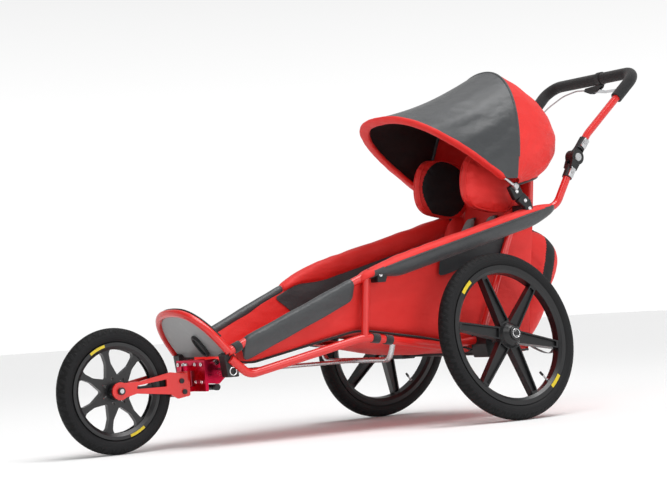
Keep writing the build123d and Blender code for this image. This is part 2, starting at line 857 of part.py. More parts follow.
# ---------------------------------------------------------------- seat cushion, backrest, headrest
pad_half_width = 132
cushion_end = 168
with BuildPart() as seat_cushion:
    add(
        side_slab(
            [
                (-150, tub_floor[3][1] + fabric + soft_gap),
                (-beam_radius - 14, seat_base_up + 6 + soft_gap),
                (beam_radius + 10, seat_base_up + soft_gap),
                (cushion_end, seat_base_up + soft_gap),
                (cushion_end, seat_base_up + 36),
                (28, seat_base_up + 36),
                (-146, tub_floor[3][1] + 48),
            ],
            -pad_half_width,
            pad_half_width,
            3,
        )
    )
save(seat_cushion, "seat_cushion")

backrest_low = 44
backrest_high = 588
backrest_thickness = 30
back_gap = fabric + soft_gap
backrest_outline = [
    back_point(backrest_low, back_gap),
    back_point(backrest_high, back_gap),
    back_point(backrest_high, back_gap + backrest_thickness),
    back_point(backrest_low, back_gap + backrest_thickness),
]
with BuildPart() as backrest:
    add(side_slab(backrest_outline, -pad_half_width, pad_half_width, 8))
save(backrest, "backrest")

wing_inner_x = 92
wing_outer_x = 138
wing_low = 440
wing_high = 606
wing_reach = 205
wing_back = back_gap + backrest_thickness + soft_gap
with BuildPart() as headrest_wings:
    add(
        side_slab(
            [
                back_point(wing_low + 20, wing_back),
                back_point(wing_high - 10, wing_back),
                back_point(wing_high, wing_back + wing_reach / 2),
                back_point(wing_high - 16, wing_back + wing_reach),
                back_point(wing_low + 22, wing_back + wing_reach),
                back_point(wing_low, wing_back + wing_reach / 2),
            ],
            wing_inner_x,
            wing_outer_x,
            24,
        )
    )
    mirror(about=Plane.YZ)
save(headrest_wings, "headrest_wings")

strap_back = wing_back
with BuildPart() as harness:
    add(
        side_slab(
            [
                back_point(150, strap_back),
                back_point(440, strap_back),
                back_point(440, strap_back + 4),
                back_point(150, strap_back + 4),
            ],
            30,
            68,
        )
    )
    mirror(about=Plane.YZ)
    add(
        side_slab(
            [
                back_point(140, strap_back),
                back_point(204, strap_back),
                back_point(204, strap_back + 16),
                back_point(140, strap_back + 16),
            ],
            -29.5,
            29.5,
            5,
        )
    )
save(harness, "harness")

# ---------------------------------------------------------------- side bolsters and leg sleeves
foot_back = 222
foot_length = 26
foot_inner = 183
foot_outer = 205


def hinge_foot(room):
    """Leg of the canopy hinge that stands on the rail and passes through the bolster."""
    return side_slab(
        [
            (foot_back - room, rail_height(foot_back)),
            (foot_back + foot_length + room, rail_height(foot_back)),
            (foot_back + foot_length + room, canopy_pivot_up - 10),
            (foot_back - room, canopy_pivot_up - 10),
        ],
        foot_inner - room,
        foot_outer + room,
    )


bolster_start = -342
bolster_end = 296


def on_rail(back):
    """Point of the left upper rail's axis."""
    share = (back - (knee.Y - rear_axle_y)) / (rail_end.Y - knee.Y)
    return between(knee, rail_end, share)


bolster_plane = Plane(origin=on_rail(bolster_start), x_dir=(1, 0, 0), z_dir=rail_direction)
bolster_length = (on_rail(bolster_end) - on_rail(bolster_start)).length
with BuildPart() as bolster_solid:
    with BuildSketch(bolster_plane):
        RectangleRounded(2 * bolster_half_width, 2 * bolster_half_height, 20)
        Circle(frame_tube_radius + soft_gap, mode=Mode.SUBTRACT)
    extrude(amount=bolster_length)
    add(upright_room, mode=Mode.SUBTRACT)
    add(hinge_foot(soft_gap), mode=Mode.SUBTRACT)
with BuildPart() as side_bolsters:
    add(bolster_solid.part)
    mirror(about=Plane.YZ)
save(side_bolsters, "side_bolsters")

sleeve_radius = 24
sleeve_front = between(hoop_foot, knee, 0.10)
sleeve_back = between(hoop_foot, knee, 0.84)
with BuildPart() as leg_sleeves:
    with BuildSketch(Plane(origin=sleeve_front, z_dir=sleeve_back - sleeve_front)):
        Circle(sleeve_radius)
        Circle(frame_tube_radius + soft_gap, mode=Mode.SUBTRACT)
    extrude(amount=(sleeve_back - sleeve_front).length)
    add(lower_rail_room, mode=Mode.SUBTRACT)
    mirror(about=Plane.YZ)
save(leg_sleeves, "leg_sleeves")

# ---------------------------------------------------------------- backrest frame and canopy hinges
back_tube_radius = 9.5
back_tube_x = 145
back_tube_low = 398
back_tube_high = 592


def back_tube_point(x, along):
    spot = back_point(along, -back_tube_radius - soft_gap)
    return at(x, spot[0], spot[1])


back_tube_points = [
    back_tube_point(back_tube_x, back_tube_low),
    back_tube_point(back_tube_x, back_tube_high),
    back_tube_point(-back_tube_x, back_tube_high),
    back_tube_point(-back_tube_x, back_tube_low),
]
with BuildPart() as backrest_frame:
    add(bent_bar(back_tube_points, [40, 40], back_tube_radius))
save(backrest_frame, "backrest_frame")

canopy_pivot = at(212, 150, canopy_pivot_up)
pivot_back = canopy_pivot.Y - rear_axle_y
pivot_up = canopy_pivot.Z
hinge_seat = back_tube_point(back_tube_x, 522)
hinge_seat_back = hinge_seat.Y - rear_axle_y
hinge_plate_inner = 193
hinge_plate_outer = foot_outer
bow_radius = 5
eye_radius = 10
pivot_pin_radius = 4
with BuildPart() as canopy_hinges:
    add(
        side_slab(
            [
                (pivot_back - 14, pivot_up - 8),
                (pivot_back - 10, pivot_up + 11),
                (pivot_back + 8, pivot_up + 14),
                (hinge_seat_back + 14, hinge_seat.Z + 16),
                (hinge_seat_back + 14, hinge_seat.Z - 14),
                (hinge_seat_back - 12, hinge_seat.Z - 16),
                (pivot_back + 4, pivot_up - 16),
            ],
            hinge_plate_inner,
            hinge_plate_outer,
            4,
        )
    )
    add(x_bar(back_tube_x - 14, hinge_plate_inner + 1, hinge_seat_back, hinge_seat.Z, 14))
    add(hinge_foot(0))
    add(upper_rail_room, mode=Mode.SUBTRACT)
    add(bent_bar(back_tube_points[:2], None, back_tube_radius + weld_gap), mode=Mode.SUBTRACT)
    add(side_slab(backrest_outline, -160, 160), mode=Mode.SUBTRACT)
    add(x_bar(hinge_plate_outer - 1, 219, pivot_back, pivot_up, pivot_pin_radius))
    for stray in canopy_hinges.solids().sort_by(SortBy.VOLUME)[:-1]:
        add(stray, mode=Mode.SUBTRACT)
    mirror(about=Plane.YZ)
save(canopy_hinges, "canopy_hinges")

# ---------------------------------------------------------------- canopy
canopy_hinge_line = Vector(0, canopy_pivot.Y, canopy_pivot.Z)
canopy_half_width = canopy_pivot.X
canopy_start = 60
front_bow_angle = 147
front_cloth_angles = (109, 146.4)
middle_cloth_angles = (76, 110.5)
seam_bow_angle = 78
cloth_gap = 0.8


def canopy_plane(angle):
    """Plane through the hinge line; local x is the stroller's X, local y points away from it."""
    tilt = radians(angle)
    return Plane(origin=canopy_hinge_line, x_dir=(1, 0, 0), z_dir=(0, -sin(tilt), cos(tilt)))


def canopy_corners(width, length, start):
    """Control corners of the rounded arch, from one side to the other."""
    return [
        (width, start),
        (width, 0.54 * length),
        (width - 0.26 * length, length),
        (0.26 * length - width, length),
        (-width, 0.54 * length),
        (-width, start),
    ]


def canopy_bends(length):
    return [0.5 * length, 0.36 * length, 0.36 * length, 0.5 * length]


def arch_face(plane, width, length, start):
    """Closed arch-shaped face on a plane through the hinge line."""
    with BuildSketch(plane) as arch:
        with BuildLine():
            FilletPolyline(*canopy_corners(width, length, start), radius=canopy_bends(length))
            Line((-width, start), (width, start))
        make_face()
    return arch.sketch


def turned_cloth(inward, angles):
    """Shell of cloth turned about the hinge line between two angles."""
    width = canopy_half_width - inward
    length = canopy_length - inward
    with BuildPart() as shell:
        with BuildSketch(canopy_plane(angles[0])):
            add(arch_face(Plane.XY, width, length, canopy_start))
            add(arch_face(Plane.XY, width - fabric, length - fabric, canopy_start - 20), mode=Mode.SUBTRACT)
        revolve(axis=Axis(canopy_hinge_line, (1, 0, 0)), revolution_arc=angles[1] - angles[0])
    return shell.part


def bow(angle, inward, start, radius):
    """Bent round bar of the canopy in a plane through the hinge line."""
    width = canopy_half_width - inward
    length = canopy_length - inward
    plane = canopy_plane(angle)
    corners = [plane.from_local_coords(Vector(*corner, 0)) for corner in canopy_corners(width, length, start)]
    return bent_bar(corners, canopy_bends(length), radius)


front_cloth_inward = -fabric / 2
middle_cloth_inward = front_cloth_inward + fabric + cloth_gap
rear_cloth_inward = middle_cloth_inward + fabric + cloth_gap
seam_bow_inward = rear_cloth_inward + fabric + cloth_gap + bow_radius

with BuildPart() as canopy_front_bow:
    add(bow(front_bow_angle, 0, eye_radius - 2, bow_radius))
    add(x_bar(207.3, 216.7, pivot_back, pivot_up, eye_radius))
    add(x_bar(-216.7, -207.3, pivot_back, pivot_up, eye_radius))
    add(x_bar(-230, 230, pivot_back, pivot_up, pivot_pin_radius + running_gap), mode=Mode.SUBTRACT)
save(canopy_front_bow, "canopy_front_bow")

with BuildPart() as canopy_front_cloth:
    add(turned_cloth(front_cloth_inward, front_cloth_angles))
    add(bow(front_bow_angle, 0, eye_radius, bow_radius + soft_gap), mode=Mode.SUBTRACT)
    for stray in canopy_front_cloth.solids().sort_by(SortBy.VOLUME)[:-1]:
        add(stray, mode=Mode.SUBTRACT)
save(canopy_front_cloth, "canopy_front_cloth")

with BuildPart() as canopy_middle_cloth:
    add(turned_cloth(middle_cloth_inward, middle_cloth_angles))
save(canopy_middle_cloth, "canopy_middle_cloth")

with BuildPart() as canopy_seam_bow:
    add(bow(seam_bow_angle, seam_bow_inward, 17, bow_radius))
save(canopy_seam_bow, "canopy_seam_bow")

rear_width = canopy_half_width - rear_cloth_inward
rear_length = canopy_length - rear_cloth_inward
rear_sections = (
    (76.5, rear_width, rear_length),
    (48, rear_width - 10, rear_length - 4),
    (30, rear_width - 22, rear_length - 24),
    (14, rear_width - 40, 245),
)
with BuildPart() as canopy_rear_cloth:
    for angle, width, length in rear_sections:
        add(arch_face(canopy_plane(angle), width, length, canopy_start))
    loft(ruled=True)
with BuildPart() as rear_room:
    for angle, width, length in ((79, rear_width, rear_length), *rear_sections[1:3], (11, rear_width - 40, 239)):
        add(arch_face(canopy_plane(angle), width - fabric, length - fabric, canopy_start - 20))
    loft(ruled=True)
with BuildPart() as rear_cloth_shell:
    add(canopy_rear_cloth.part)
    add(rear_room.part, mode=Mode.SUBTRACT)
    for stray in rear_cloth_shell.solids().sort_by(SortBy.VOLUME)[:-1]:
        add(stray, mode=Mode.SUBTRACT)
save(rear_cloth_shell, "canopy_rear_cloth")

# ---------------------------------------------------------------- elbows
cheek_gap = 8
cheek_outer = 17
web_half = 7.6
clamp_ring_radius = 16
pin_radius = 6
elbow_button_radius = 12.5
elbow_button_travel = 3
button_recess = 6
pivot_side = (elbow_pivot.Y - rear_axle_y, elbow_pivot.Z)


def arm_plate(direction, x_low, x_high, tip):
    """Plate from the pivot disc along an elbow's arm."""
    along = Vector(0, direction.Y, direction.Z).normalized()
    across = Vector(0, -along.Z, along.Y)
    corners = [
        elbow_pivot + across * 19,
        elbow_pivot + along * tip + across * 13,
        elbow_pivot + along * tip - across * 13,
        elbow_pivot - across * 19,
    ]
    outline = [(corner.Y - rear_axle_y, corner.Z) for corner in corners]
    with BuildPart() as plate:
        add(side_slab(outline, x_low, x_high))
        add(x_bar(x_low, x_high, *pivot_side, elbow_disc_radius))
    return plate.part


def arm_ring(direction):
    """Ring that grips the tube at the end of an elbow's arm."""
    start = elbow_pivot + direction * (elbow_reach - 4)
    with BuildPart() as ring:
        with BuildSketch(Plane(origin=start, z_dir=direction)):
            Circle(clamp_ring_radius)
        extrude(amount=elbow_arm_length - elbow_reach)
    return ring.part


rail_stub_room = bent_bar([rail_end, rail_top], None, frame_tube_radius + weld_gap)
with BuildPart() as elbow_lowers:
    add(arm_plate(lower_arm, elbow_pivot.X + cheek_gap, elbow_pivot.X + cheek_outer, elbow_reach + 8))
    add(arm_plate(lower_arm, elbow_pivot.X - cheek_outer, elbow_pivot.X - cheek_gap, elbow_reach + 8))
    add(arm_ring(lower_arm))
    add(rail_stub_room, mode=Mode.SUBTRACT)
    add(x_bar(150, 230, *pivot_side, pin_radius + weld_gap), mode=Mode.SUBTRACT)
    add(
        x_bar(elbow_pivot.X + cheek_outer - button_recess, 230, *pivot_side, elbow_button_radius + 0.2),
        mode=Mode.SUBTRACT,
    )
    mirror(about=Plane.YZ)
save(elbow_lowers, "elbow_lowers")

handle_tube_solid = bent_bar([handle_foot, handle_knee], None, frame_tube_radius + weld_gap)
with BuildPart() as elbow_uppers:
    add(arm_plate(upper_arm, elbow_pivot.X - web_half, elbow_pivot.X + web_half, elbow_reach + 6))
    add(arm_ring(upper_arm))
    add(handle_tube_solid, mode=Mode.SUBTRACT)
    add(x_bar(150, 230, *pivot_side, pin_radius + running_gap), mode=Mode.SUBTRACT)
    mirror(about=Plane.YZ)
save(elbow_uppers, "elbow_uppers")

with BuildPart() as elbow_pins:
    add(
        x_bar(
            elbow_pivot.X - cheek_outer,
            elbow_pivot.X + cheek_outer - button_recess - weld_gap,
            *pivot_side,
            pin_radius,
        )
    )
    mirror(about=Plane.YZ)
save(elbow_pins, "elbow_pins")

button_inner = elbow_pivot.X + cheek_outer - button_recess + elbow_button_travel + soft_gap
with BuildPart() as button_solid:
    add(x_bar(button_inner, button_inner + 6, *pivot_side, elbow_button_radius))
    chamfer(button_solid.faces().sort_by(Axis.X)[-1].edges(), 1.2)
for side_name, turn in (("left", False), ("right", True)):
    with BuildPart() as elbow_button:
        add(button_solid.part.mirror(Plane.YZ) if turn else button_solid.part)
    save(elbow_button, f"elbow_button_{side_name}")

# ---------------------------------------------------------------- handlebar, grip, brake
handle_bend = 52
grip_down = 78
handle_knee_bend = 60
handle_bends = [handle_knee_bend, handle_bend, handle_bend, handle_knee_bend]
grip_end = grip_corner - handle_direction * (grip_down + handle_bend)
handle_points = [
    handle_foot,
    handle_knee,
    grip_corner,
    Vector(-grip_corner.X, grip_corner.Y, grip_corner.Z),
    Vector(-handle_knee.X, handle_knee.Y, handle_knee.Z),
    Vector(-handle_foot.X, handle_foot.Y, handle_foot.Z),
]
with BuildPart() as handlebar_tube:
    add(bent_bar(handle_points, handle_bends, frame_tube_radius))
save(handlebar_tube, "handlebar_tube")

grip_points = [
    grip_end,
    grip_corner,
    Vector(-grip_corner.X, grip_corner.Y, grip_corner.Z),
    Vector(-grip_end.X, grip_end.Y, grip_end.Z),
]
with BuildPart() as grip:
    add(bent_bar(grip_points, [handle_bend, handle_bend], grip_radius))
    add(bent_bar(handle_points, handle_bends, frame_tube_radius + weld_gap), mode=Mode.SUBTRACT)
save(grip, "grip")

bar_back = grip_corner.Y - rear_axle_y
bar_up = grip_corner.Z
clamp_x = 38
lever_pivot_x = 4
lever_pivot_up = bar_up - 36
lever_thickness = 8
body_half = 9
with BuildPart() as brake_clamp:
    add(x_bar(clamp_x - 9, clamp_x + 9, bar_back, bar_up, grip_radius + brake_band))
    with BuildSketch(Plane.XZ.offset(-(rear_axle_y + bar_back - body_half))) as body:
        with BuildLine():
            Polyline(
                (clamp_x + 9, bar_up - 20),
                (clamp_x - 20, bar_up - 21),
                (lever_pivot_x - 34, bar_up - 24),
                (lever_pivot_x - 40, bar_up - 34),
                (lever_pivot_x - 10, bar_up - 46),
                (lever_pivot_x + 12, bar_up - 42),
                (clamp_x + 2, bar_up - 30),
                close=True,
            )
        make_face()
        fillet(body.vertices(), 3)
    extrude(amount=-2 * body_half)
    add(x_bar(-200, 200, bar_back, bar_up, grip_radius + weld_gap), mode=Mode.SUBTRACT)
    with BuildSketch(Plane.XZ.offset(-(rear_axle_y + bar_back - lever_thickness / 2 - 0.6))):
        with Locations((lever_pivot_x, lever_pivot_up)):
            Circle(12)
        with Locations((lever_pivot_x + 40, lever_pivot_up)):
            Rectangle(80, 20)
    extrude(amount=-lever_thickness - 1.2, mode=Mode.SUBTRACT)
    with BuildSketch(Plane.XZ.offset(-(rear_axle_y + bar_back - body_half))):
        with Locations((lever_pivot_x, lever_pivot_up)):
            Circle(3)
    extrude(amount=-2 * body_half)
    for stray in brake_clamp.solids().sort_by(SortBy.VOLUME)[:-1]:
        add(stray, mode=Mode.SUBTRACT)
save(brake_clamp, "brake_clamp")

with BuildPart() as brake_lever:
    with BuildSketch(Plane.XZ.offset(-(rear_axle_y + bar_back - lever_thickness / 2))) as blade:
        with BuildLine():
            Polyline(
                (lever_pivot_x - 8, lever_pivot_up - 5),
                (lever_pivot_x + 6, lever_pivot_up - 8),
                (lever_pivot_x + 50, lever_pivot_up - 15),
                (lever_pivot_x + 100, lever_pivot_up - 16),
                (lever_pivot_x + 104, lever_pivot_up - 11),
                (lever_pivot_x + 98, lever_pivot_up - 7),
                (lever_pivot_x + 52, lever_pivot_up - 6),
                (lever_pivot_x + 8, lever_pivot_up + 7),
                (lever_pivot_x - 8, lever_pivot_up + 6),
                close=True,
            )
        make_face()
        fillet(blade.vertices(), 2)
        with Locations((lever_pivot_x, lever_pivot_up)):
            Circle(3 + running_gap, mode=Mode.SUBTRACT)
    extrude(amount=-lever_thickness)
save(brake_lever, "brake_lever")

cable_radius = 2.5
cable_start = at(lever_pivot_x - 39, bar_back, bar_up - 30)


def beside_handle(distance, side=0):
    """Point below the right handle tube, a distance down from the grip's corner."""
    spot = grip_corner - handle_direction * distance
    below = Vector(0, handle_direction.Z, -handle_direction.Y)
    return Vector(side - spot.X, spot.Y, spot.Z) + below * (grip_radius + cable_radius + 2)


elbow_inner_x = elbow_pivot.X - cheek_outer - cable_radius - 3
elbow_eye = Vector(-elbow_inner_x, elbow_pivot.Y, elbow_pivot.Z)
cable_split = 4
cable_points = [
    cable_start,
    at(-78, bar_back - 2, bar_up - 26),
    at(-132, bar_back - 12, bar_up - 36),
    beside_handle(84, 20),
    beside_handle(256, 4),
    elbow_eye + upper_arm * 70,
    elbow_eye + upper_arm * cable_split,
]
with BuildPart() as brake_cable:
    add(bent_bar(cable_points, [60, 60, 60, 60, 60], cable_radius))
save(brake_cable, "brake_cable")

lower_cable_points = [
    elbow_eye + lower_arm * cable_split,
    elbow_eye + lower_arm * 55,
    at(-162, 352, 648),
    at(-173, 290, 540),
    at(-174, 216, 430),
    at(-178, 130, 350),
    at(-186, 66, 308),
    at(-212, 22, bracket_top + cable_radius / 2),
]
with BuildPart() as brake_cable_lower:
    add(bent_bar(lower_cable_points, [60, 60, 60, 60, 60, 30], cable_radius))
save(brake_cable_lower, "brake_cable_lower")

# ---------------------------------------------------------------- rear bag
bag_half_width = 118
bag_gap = 0.5
with BuildPart() as bag:
    add(
        side_slab(
            [
                back_point(235, -bag_gap),
                back_point(385, -bag_gap),
                (290, 560),
                (372, 530),
                (420, 478),
                (376, 412),
                (290, 392),
            ],
            -bag_half_width,
            bag_half_width,
            10,
        )
    )
save(bag, "bag")
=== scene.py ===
"""A three-wheeled running stroller: finishes, soft goods and small fittings over its CAD frame."""

import json
from math import atan2, copysign, cos, pi, radians, sin

import bmesh
import bpy
from mathutils import Matrix, Vector, noise


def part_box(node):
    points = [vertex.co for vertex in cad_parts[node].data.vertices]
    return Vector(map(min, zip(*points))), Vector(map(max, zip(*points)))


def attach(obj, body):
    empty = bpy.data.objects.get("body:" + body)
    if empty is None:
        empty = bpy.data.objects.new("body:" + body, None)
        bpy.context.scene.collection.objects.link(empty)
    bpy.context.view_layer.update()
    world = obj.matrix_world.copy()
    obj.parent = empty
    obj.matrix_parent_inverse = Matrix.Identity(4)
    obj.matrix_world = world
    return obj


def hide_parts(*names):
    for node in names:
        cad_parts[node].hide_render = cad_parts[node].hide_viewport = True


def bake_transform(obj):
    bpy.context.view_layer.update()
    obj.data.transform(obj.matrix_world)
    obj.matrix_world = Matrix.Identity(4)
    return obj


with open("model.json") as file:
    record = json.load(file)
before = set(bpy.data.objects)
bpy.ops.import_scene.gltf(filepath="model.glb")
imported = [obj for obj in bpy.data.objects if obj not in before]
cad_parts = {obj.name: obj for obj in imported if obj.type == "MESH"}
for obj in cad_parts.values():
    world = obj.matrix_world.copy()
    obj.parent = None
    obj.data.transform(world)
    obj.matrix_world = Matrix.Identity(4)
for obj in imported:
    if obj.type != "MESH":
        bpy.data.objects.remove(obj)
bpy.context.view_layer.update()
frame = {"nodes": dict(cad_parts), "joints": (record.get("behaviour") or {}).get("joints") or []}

# ---------------- stations of the frame, in metres
def joint_place(name):
    return next(joint["pos_m"] for joint in frame["joints"] if joint["name"] == name)


AXLE = joint_place("rear_wheel_left_spin")
FORK_AXLE = joint_place("front_wheel_spin")
CANOPY_PIVOT = joint_place("canopy_front_fold")
ELBOW = joint_place("handlebar_tilt")
REAR_Y = AXLE[1]
CAMBER = radians(10)
HANDS = ((1, "left"), (-1, "right"))
KNEE = -0.408
# Lines of (back, value) stations; back is the distance behind the rear axle.
RAIL_UP = ((-0.865, 0.257), (KNEE, 0.450), (0.335, 0.637))
RAIL_X = ((-0.865, 0.140), (KNEE, 0.187), (0.335, 0.190))
LOWER_UP = ((-0.800, 0.190), (-0.433, 0.271), (-0.150, 0.228), (0.033, 0.243))
LOWER_X = ((-0.800, 0.140), (-0.433, 0.187), (0.033, 0.187))
FLOOR_UP = (
    (-0.826, 0.232),
    (-0.785, 0.217),
    (-0.433, 0.289),
    (-0.160, 0.245),
    (0.030, 0.188),
    (0.205, 0.188),
)
TUB_HALF = ((-0.870, 0.104), (KNEE, 0.168), (0.400, 0.168))
# Foot of the back wall and the direction up it, as (back, up).
BACK_FOOT = (0.205, 0.187)
BACK_LEAN = (57 / 516.2, 513 / 516.2)
CROSS_TUBE = (-0.8495, 0.2035)
CLOTH_THICKNESS = 0.0018
HEAVY_CLOTH_THICKNESS = 0.002
STRAP_THICKNESS = 0.0016
SWELL_FRAMES = 20


def at(x, back, up):
    """A point from its side position, its distance behind the rear axle and its height."""
    return Vector((x, REAR_Y + back, up))


def along(stations, place):
    """Value at a place on a line of (place, value) stations, straight between them."""
    if place <= stations[0][0]:
        return stations[0][1]
    for (low, first), (high, second) in zip(stations, stations[1:]):
        if place <= high:
            return first + (second - first) * (place - low) / (high - low)
    return stations[-1][1]


def on_back(up_wall, forward):
    """(back, up) of a point up the back wall and forward of it."""
    return (
        BACK_FOOT[0] + BACK_LEAN[0] * up_wall - BACK_LEAN[1] * forward,
        BACK_FOOT[1] + BACK_LEAN[1] * up_wall + BACK_LEAN[0] * forward,
    )


# ---------------- finishes
class Value:
    """A number that varies over a surface; expressions on it add their Math nodes."""

    def __init__(self, finish, socket):
        self.finish = finish
        self.socket = socket

    def maths(self, operation, *others):
        inputs = dict(enumerate((self, *others)))
        made = self.finish.node("ShaderNodeMath", {"operation": operation}, inputs)
        return Value(self.finish, made.outputs[0])

    def __add__(self, other):
        return self.maths("ADD", other)

    __radd__ = __add__

    def __mul__(self, other):
        return self.maths("MULTIPLY", other)

    __rmul__ = __mul__

    def __sub__(self, other):
        return self.maths("SUBTRACT", other)

    def __rsub__(self, other):
        return self * -1 + other

    def sine(self):
        return self.maths("SINE")

    def power(self, exponent):
        return self.maths("POWER", exponent)

    def between(self, low, high):
        """0 below low, 1 above high, smooth between them."""
        made = self.finish.node(
            "ShaderNodeMapRange",
            {"interpolation_type": "SMOOTHSTEP"},
            {"Value": self, "From Min": low, "From Max": high},
        )
        return Value(self.finish, made.outputs[0])


class Finish:
    """One surface finish, built on the principled shader."""

    def __init__(self, name, colour, roughness, **settings):
        self.material = bpy.data.materials.new(name)
        self.material.use_nodes = True
        self.tree = self.material.node_tree
        self.shader = self.tree.nodes["Principled BSDF"]
        self.colour = (*colour, 1)
        self.material.diffuse_color = self.colour
        self.shader.inputs["Base Color"].default_value = self.colour
        self.shader.inputs["Roughness"].default_value = roughness
        for socket, value in settings.items():
            self.shader.inputs[socket.replace("_", " ")].default_value = value

    def node(self, kind, settings=None, inputs=None):
        made = self.tree.nodes.new(kind)
        for key, value in (settings or {}).items():
            setattr(made, key, value)
        for key, value in (inputs or {}).items():
            if isinstance(value, Value):
                self.tree.links.new(value.socket, made.inputs[key])
            else:
                made.inputs[key].default_value = value
        return made

    def place(self, centre=(0, 0, 0), stretch=(1, 1, 1), turn=(0, 0, 0)):
        """Place on the piece, from a centre, turned and stretched."""
        coordinates = self.node("ShaderNodeTexCoord").outputs["Object"]
        ends = {0: Value(self, coordinates), 1: centre}
        moved = self.node("ShaderNodeVectorMath", {"operation": "SUBTRACT"}, ends)
        turned = self.node(
            "ShaderNodeMapping",
            {"vector_type": "POINT"},
            {"Vector": Value(self, moved.outputs[0]), "Rotation": turn, "Scale": stretch},
        )
        return Value(self, turned.outputs[0])

    def split(self, place):
        made = self.node("ShaderNodeSeparateXYZ", None, {0: place})
        return [Value(self, output) for output in made.outputs]

    def noise(self, scale, detail=2.0, place=None, roughness=0.5):
        place = place or self.place()
        inputs = {"Vector": place, "Scale": scale, "Detail": detail, "Roughness": roughness}
        return Value(self, self.node("ShaderNodeTexNoise", None, inputs).outputs[0])

    def cells(self, scale, place=None):
        inputs = {"Vector": place or self.place(), "Scale": scale}
        return Value(self, self.node("ShaderNodeTexVoronoi", None, inputs).outputs[0])

    def feed(self, socket, value):
        self.tree.links.new(value.socket, self.shader.inputs[socket])

    def tint(self, factor, colour, base=None):
        """The base colour, mixed towards another one by a factor."""
        made = self.node("ShaderNodeMix", {"data_type": "RGBA"})
        self.tree.links.new(factor.socket, made.inputs[0])
        if base is None:
            made.inputs[6].default_value = self.colour
        else:
            self.tree.links.new(base.socket, made.inputs[6])
        made.inputs[7].default_value = (*colour, 1)
        mixed = Value(self, made.outputs[2])
        self.feed("Base Color", mixed)
        return mixed

    def raise_by(self, height, distance, strength=1.0, under=None):
        inputs = {"Height": height, "Distance": distance, "Strength": strength}
        if under:
            inputs["Normal"] = under
        made = Value(self, self.node("ShaderNodeBump", None, inputs).outputs[0])
        self.feed("Normal", made)
        return made


THREAD = 2 * pi / 0.0026
RIB = 2 * pi / 0.0034


def woven(name, colour, roughness=0.62, crease=0.005, crest_highlight=0.12, sheen=0.25):
    """Coated nylon: fine weave, broad soft creases, and a painted highlight that lightens the
    crests of the broad creases.
    """
    cloth = Finish(name, colour, roughness, Sheen_Weight=sheen, Sheen_Roughness=0.4)
    x, y, z = cloth.split(cloth.place())
    rows = (x * THREAD).sine() * (y * THREAD).sine() + (y * THREAD).sine() * (z * THREAD).sine()
    broad = cloth.noise(7, 3, cloth.place(stretch=(1, 0.5, 1.4), turn=(0.4, 0, 0)))
    folds = cloth.noise(26, 2, cloth.place(stretch=(0.6, 1, 1.6)))
    soft = cloth.raise_by(broad, crease * 2.4)
    soft = cloth.raise_by(folds, crease * 0.55, under=soft)
    cloth.raise_by(rows, 0.00016, 0.35, under=soft)
    # Painted highlight: the colour is lightened on the crests of the broad creases, where the
    # crease bump rises.
    crest_highlight_colour = tuple(min(1, channel * 1.25 + 0.02) for channel in colour)
    cloth.tint(broad.between(0.45, 0.8) * crest_highlight * 4, crest_highlight_colour)
    cloth.feed("Roughness", cloth.noise(40, 3) * 0.16 + (roughness - 0.08))
    return cloth.material


def painted(name, colour, roughness=0.3, coat=0.5, **settings):
    """Powder coat: faint orange peel, small scuffs and dust where hands and shoes rub."""
    paint = Finish(name, colour, roughness, Coat_Weight=coat, Coat_Roughness=0.16, **settings)
    paint.raise_by(paint.noise(420, 2), 0.00012, 0.5)
    scuffs = paint.noise(38, 6, paint.place(stretch=(1, 0.25, 1)), 0.65).between(0.66, 0.78)
    paint.tint(scuffs * 0.25, tuple(min(1, channel * 0.6 + 0.16) for channel in colour))
    paint.feed("Roughness", paint.noise(24, 4) * 0.14 + scuffs * 0.2 + (roughness - 0.06))
    return paint.material


def metal(name, colour, roughness=0.3, lines=(1, 1, 1), dull=0.3):
    """Bare or anodised metal with drawn lines and slight tarnish."""
    bare = Finish(name, colour, roughness, Metallic=1.0)
    drawn = bare.noise(300, 3, bare.place(stretch=lines))
    bare.raise_by(drawn, 0.00006, 0.5)
    tarnish = bare.noise(34, 4).between(0.5, 0.8)
    bare.tint(tarnish * dull, tuple(channel * 0.55 for channel in colour))
    bare.feed("Roughness", drawn * 0.16 + tarnish * 0.1 + (roughness - 0.08))
    return bare.material


def moulded(name, colour, roughness=0.5, grain=0.00018, coat=0.0):
    """Moulded plastic with a fine spark-eroded grain and worn, paler patches."""
    shell = Finish(name, colour, roughness, Coat_Weight=coat, Coat_Roughness=0.25)
    pits = shell.cells(520)
    shell.raise_by(pits, grain, 0.6)
    worn = shell.noise(30, 5, roughness=0.6).between(0.55, 0.78)
    shell.tint(worn * 0.4, tuple(channel * 1.5 + 0.005 for channel in colour))
    shell.feed("Roughness", shell.noise(70, 3) * 0.2 + (roughness - 0.1))
    return shell.material


def foam(name, colour):
    """Closed-cell foam sleeve with small open cells."""
    sleeve = Finish(name, colour, 0.85, Sheen_Weight=0.15)
    cells = sleeve.cells(620)
    soft = sleeve.raise_by(sleeve.noise(30, 3), 0.0012)
    sleeve.raise_by(cells, 0.0005, 0.7, under=soft)
    sleeve.tint(sleeve.noise(120, 3).between(0.45, 0.8) * 0.5, (0.016, 0.016, 0.017))
    return sleeve.material


def webbing(name, colour):
    """Woven strap with ribs across its run."""
    strap = Finish(name, colour, 0.7, Sheen_Weight=0.3)
    x, y, z = strap.split(strap.place())
    ribs = ((y + z) * RIB).sine() * 0.6 + ((x - z) * RIB).sine() * 0.4
    strap.raise_by(ribs, 0.0004, 0.8)
    strap.tint(strap.noise(90, 3).between(0.4, 0.8) * 0.4, tuple(c * 1.8 + 0.004 for c in colour))
    return strap.material


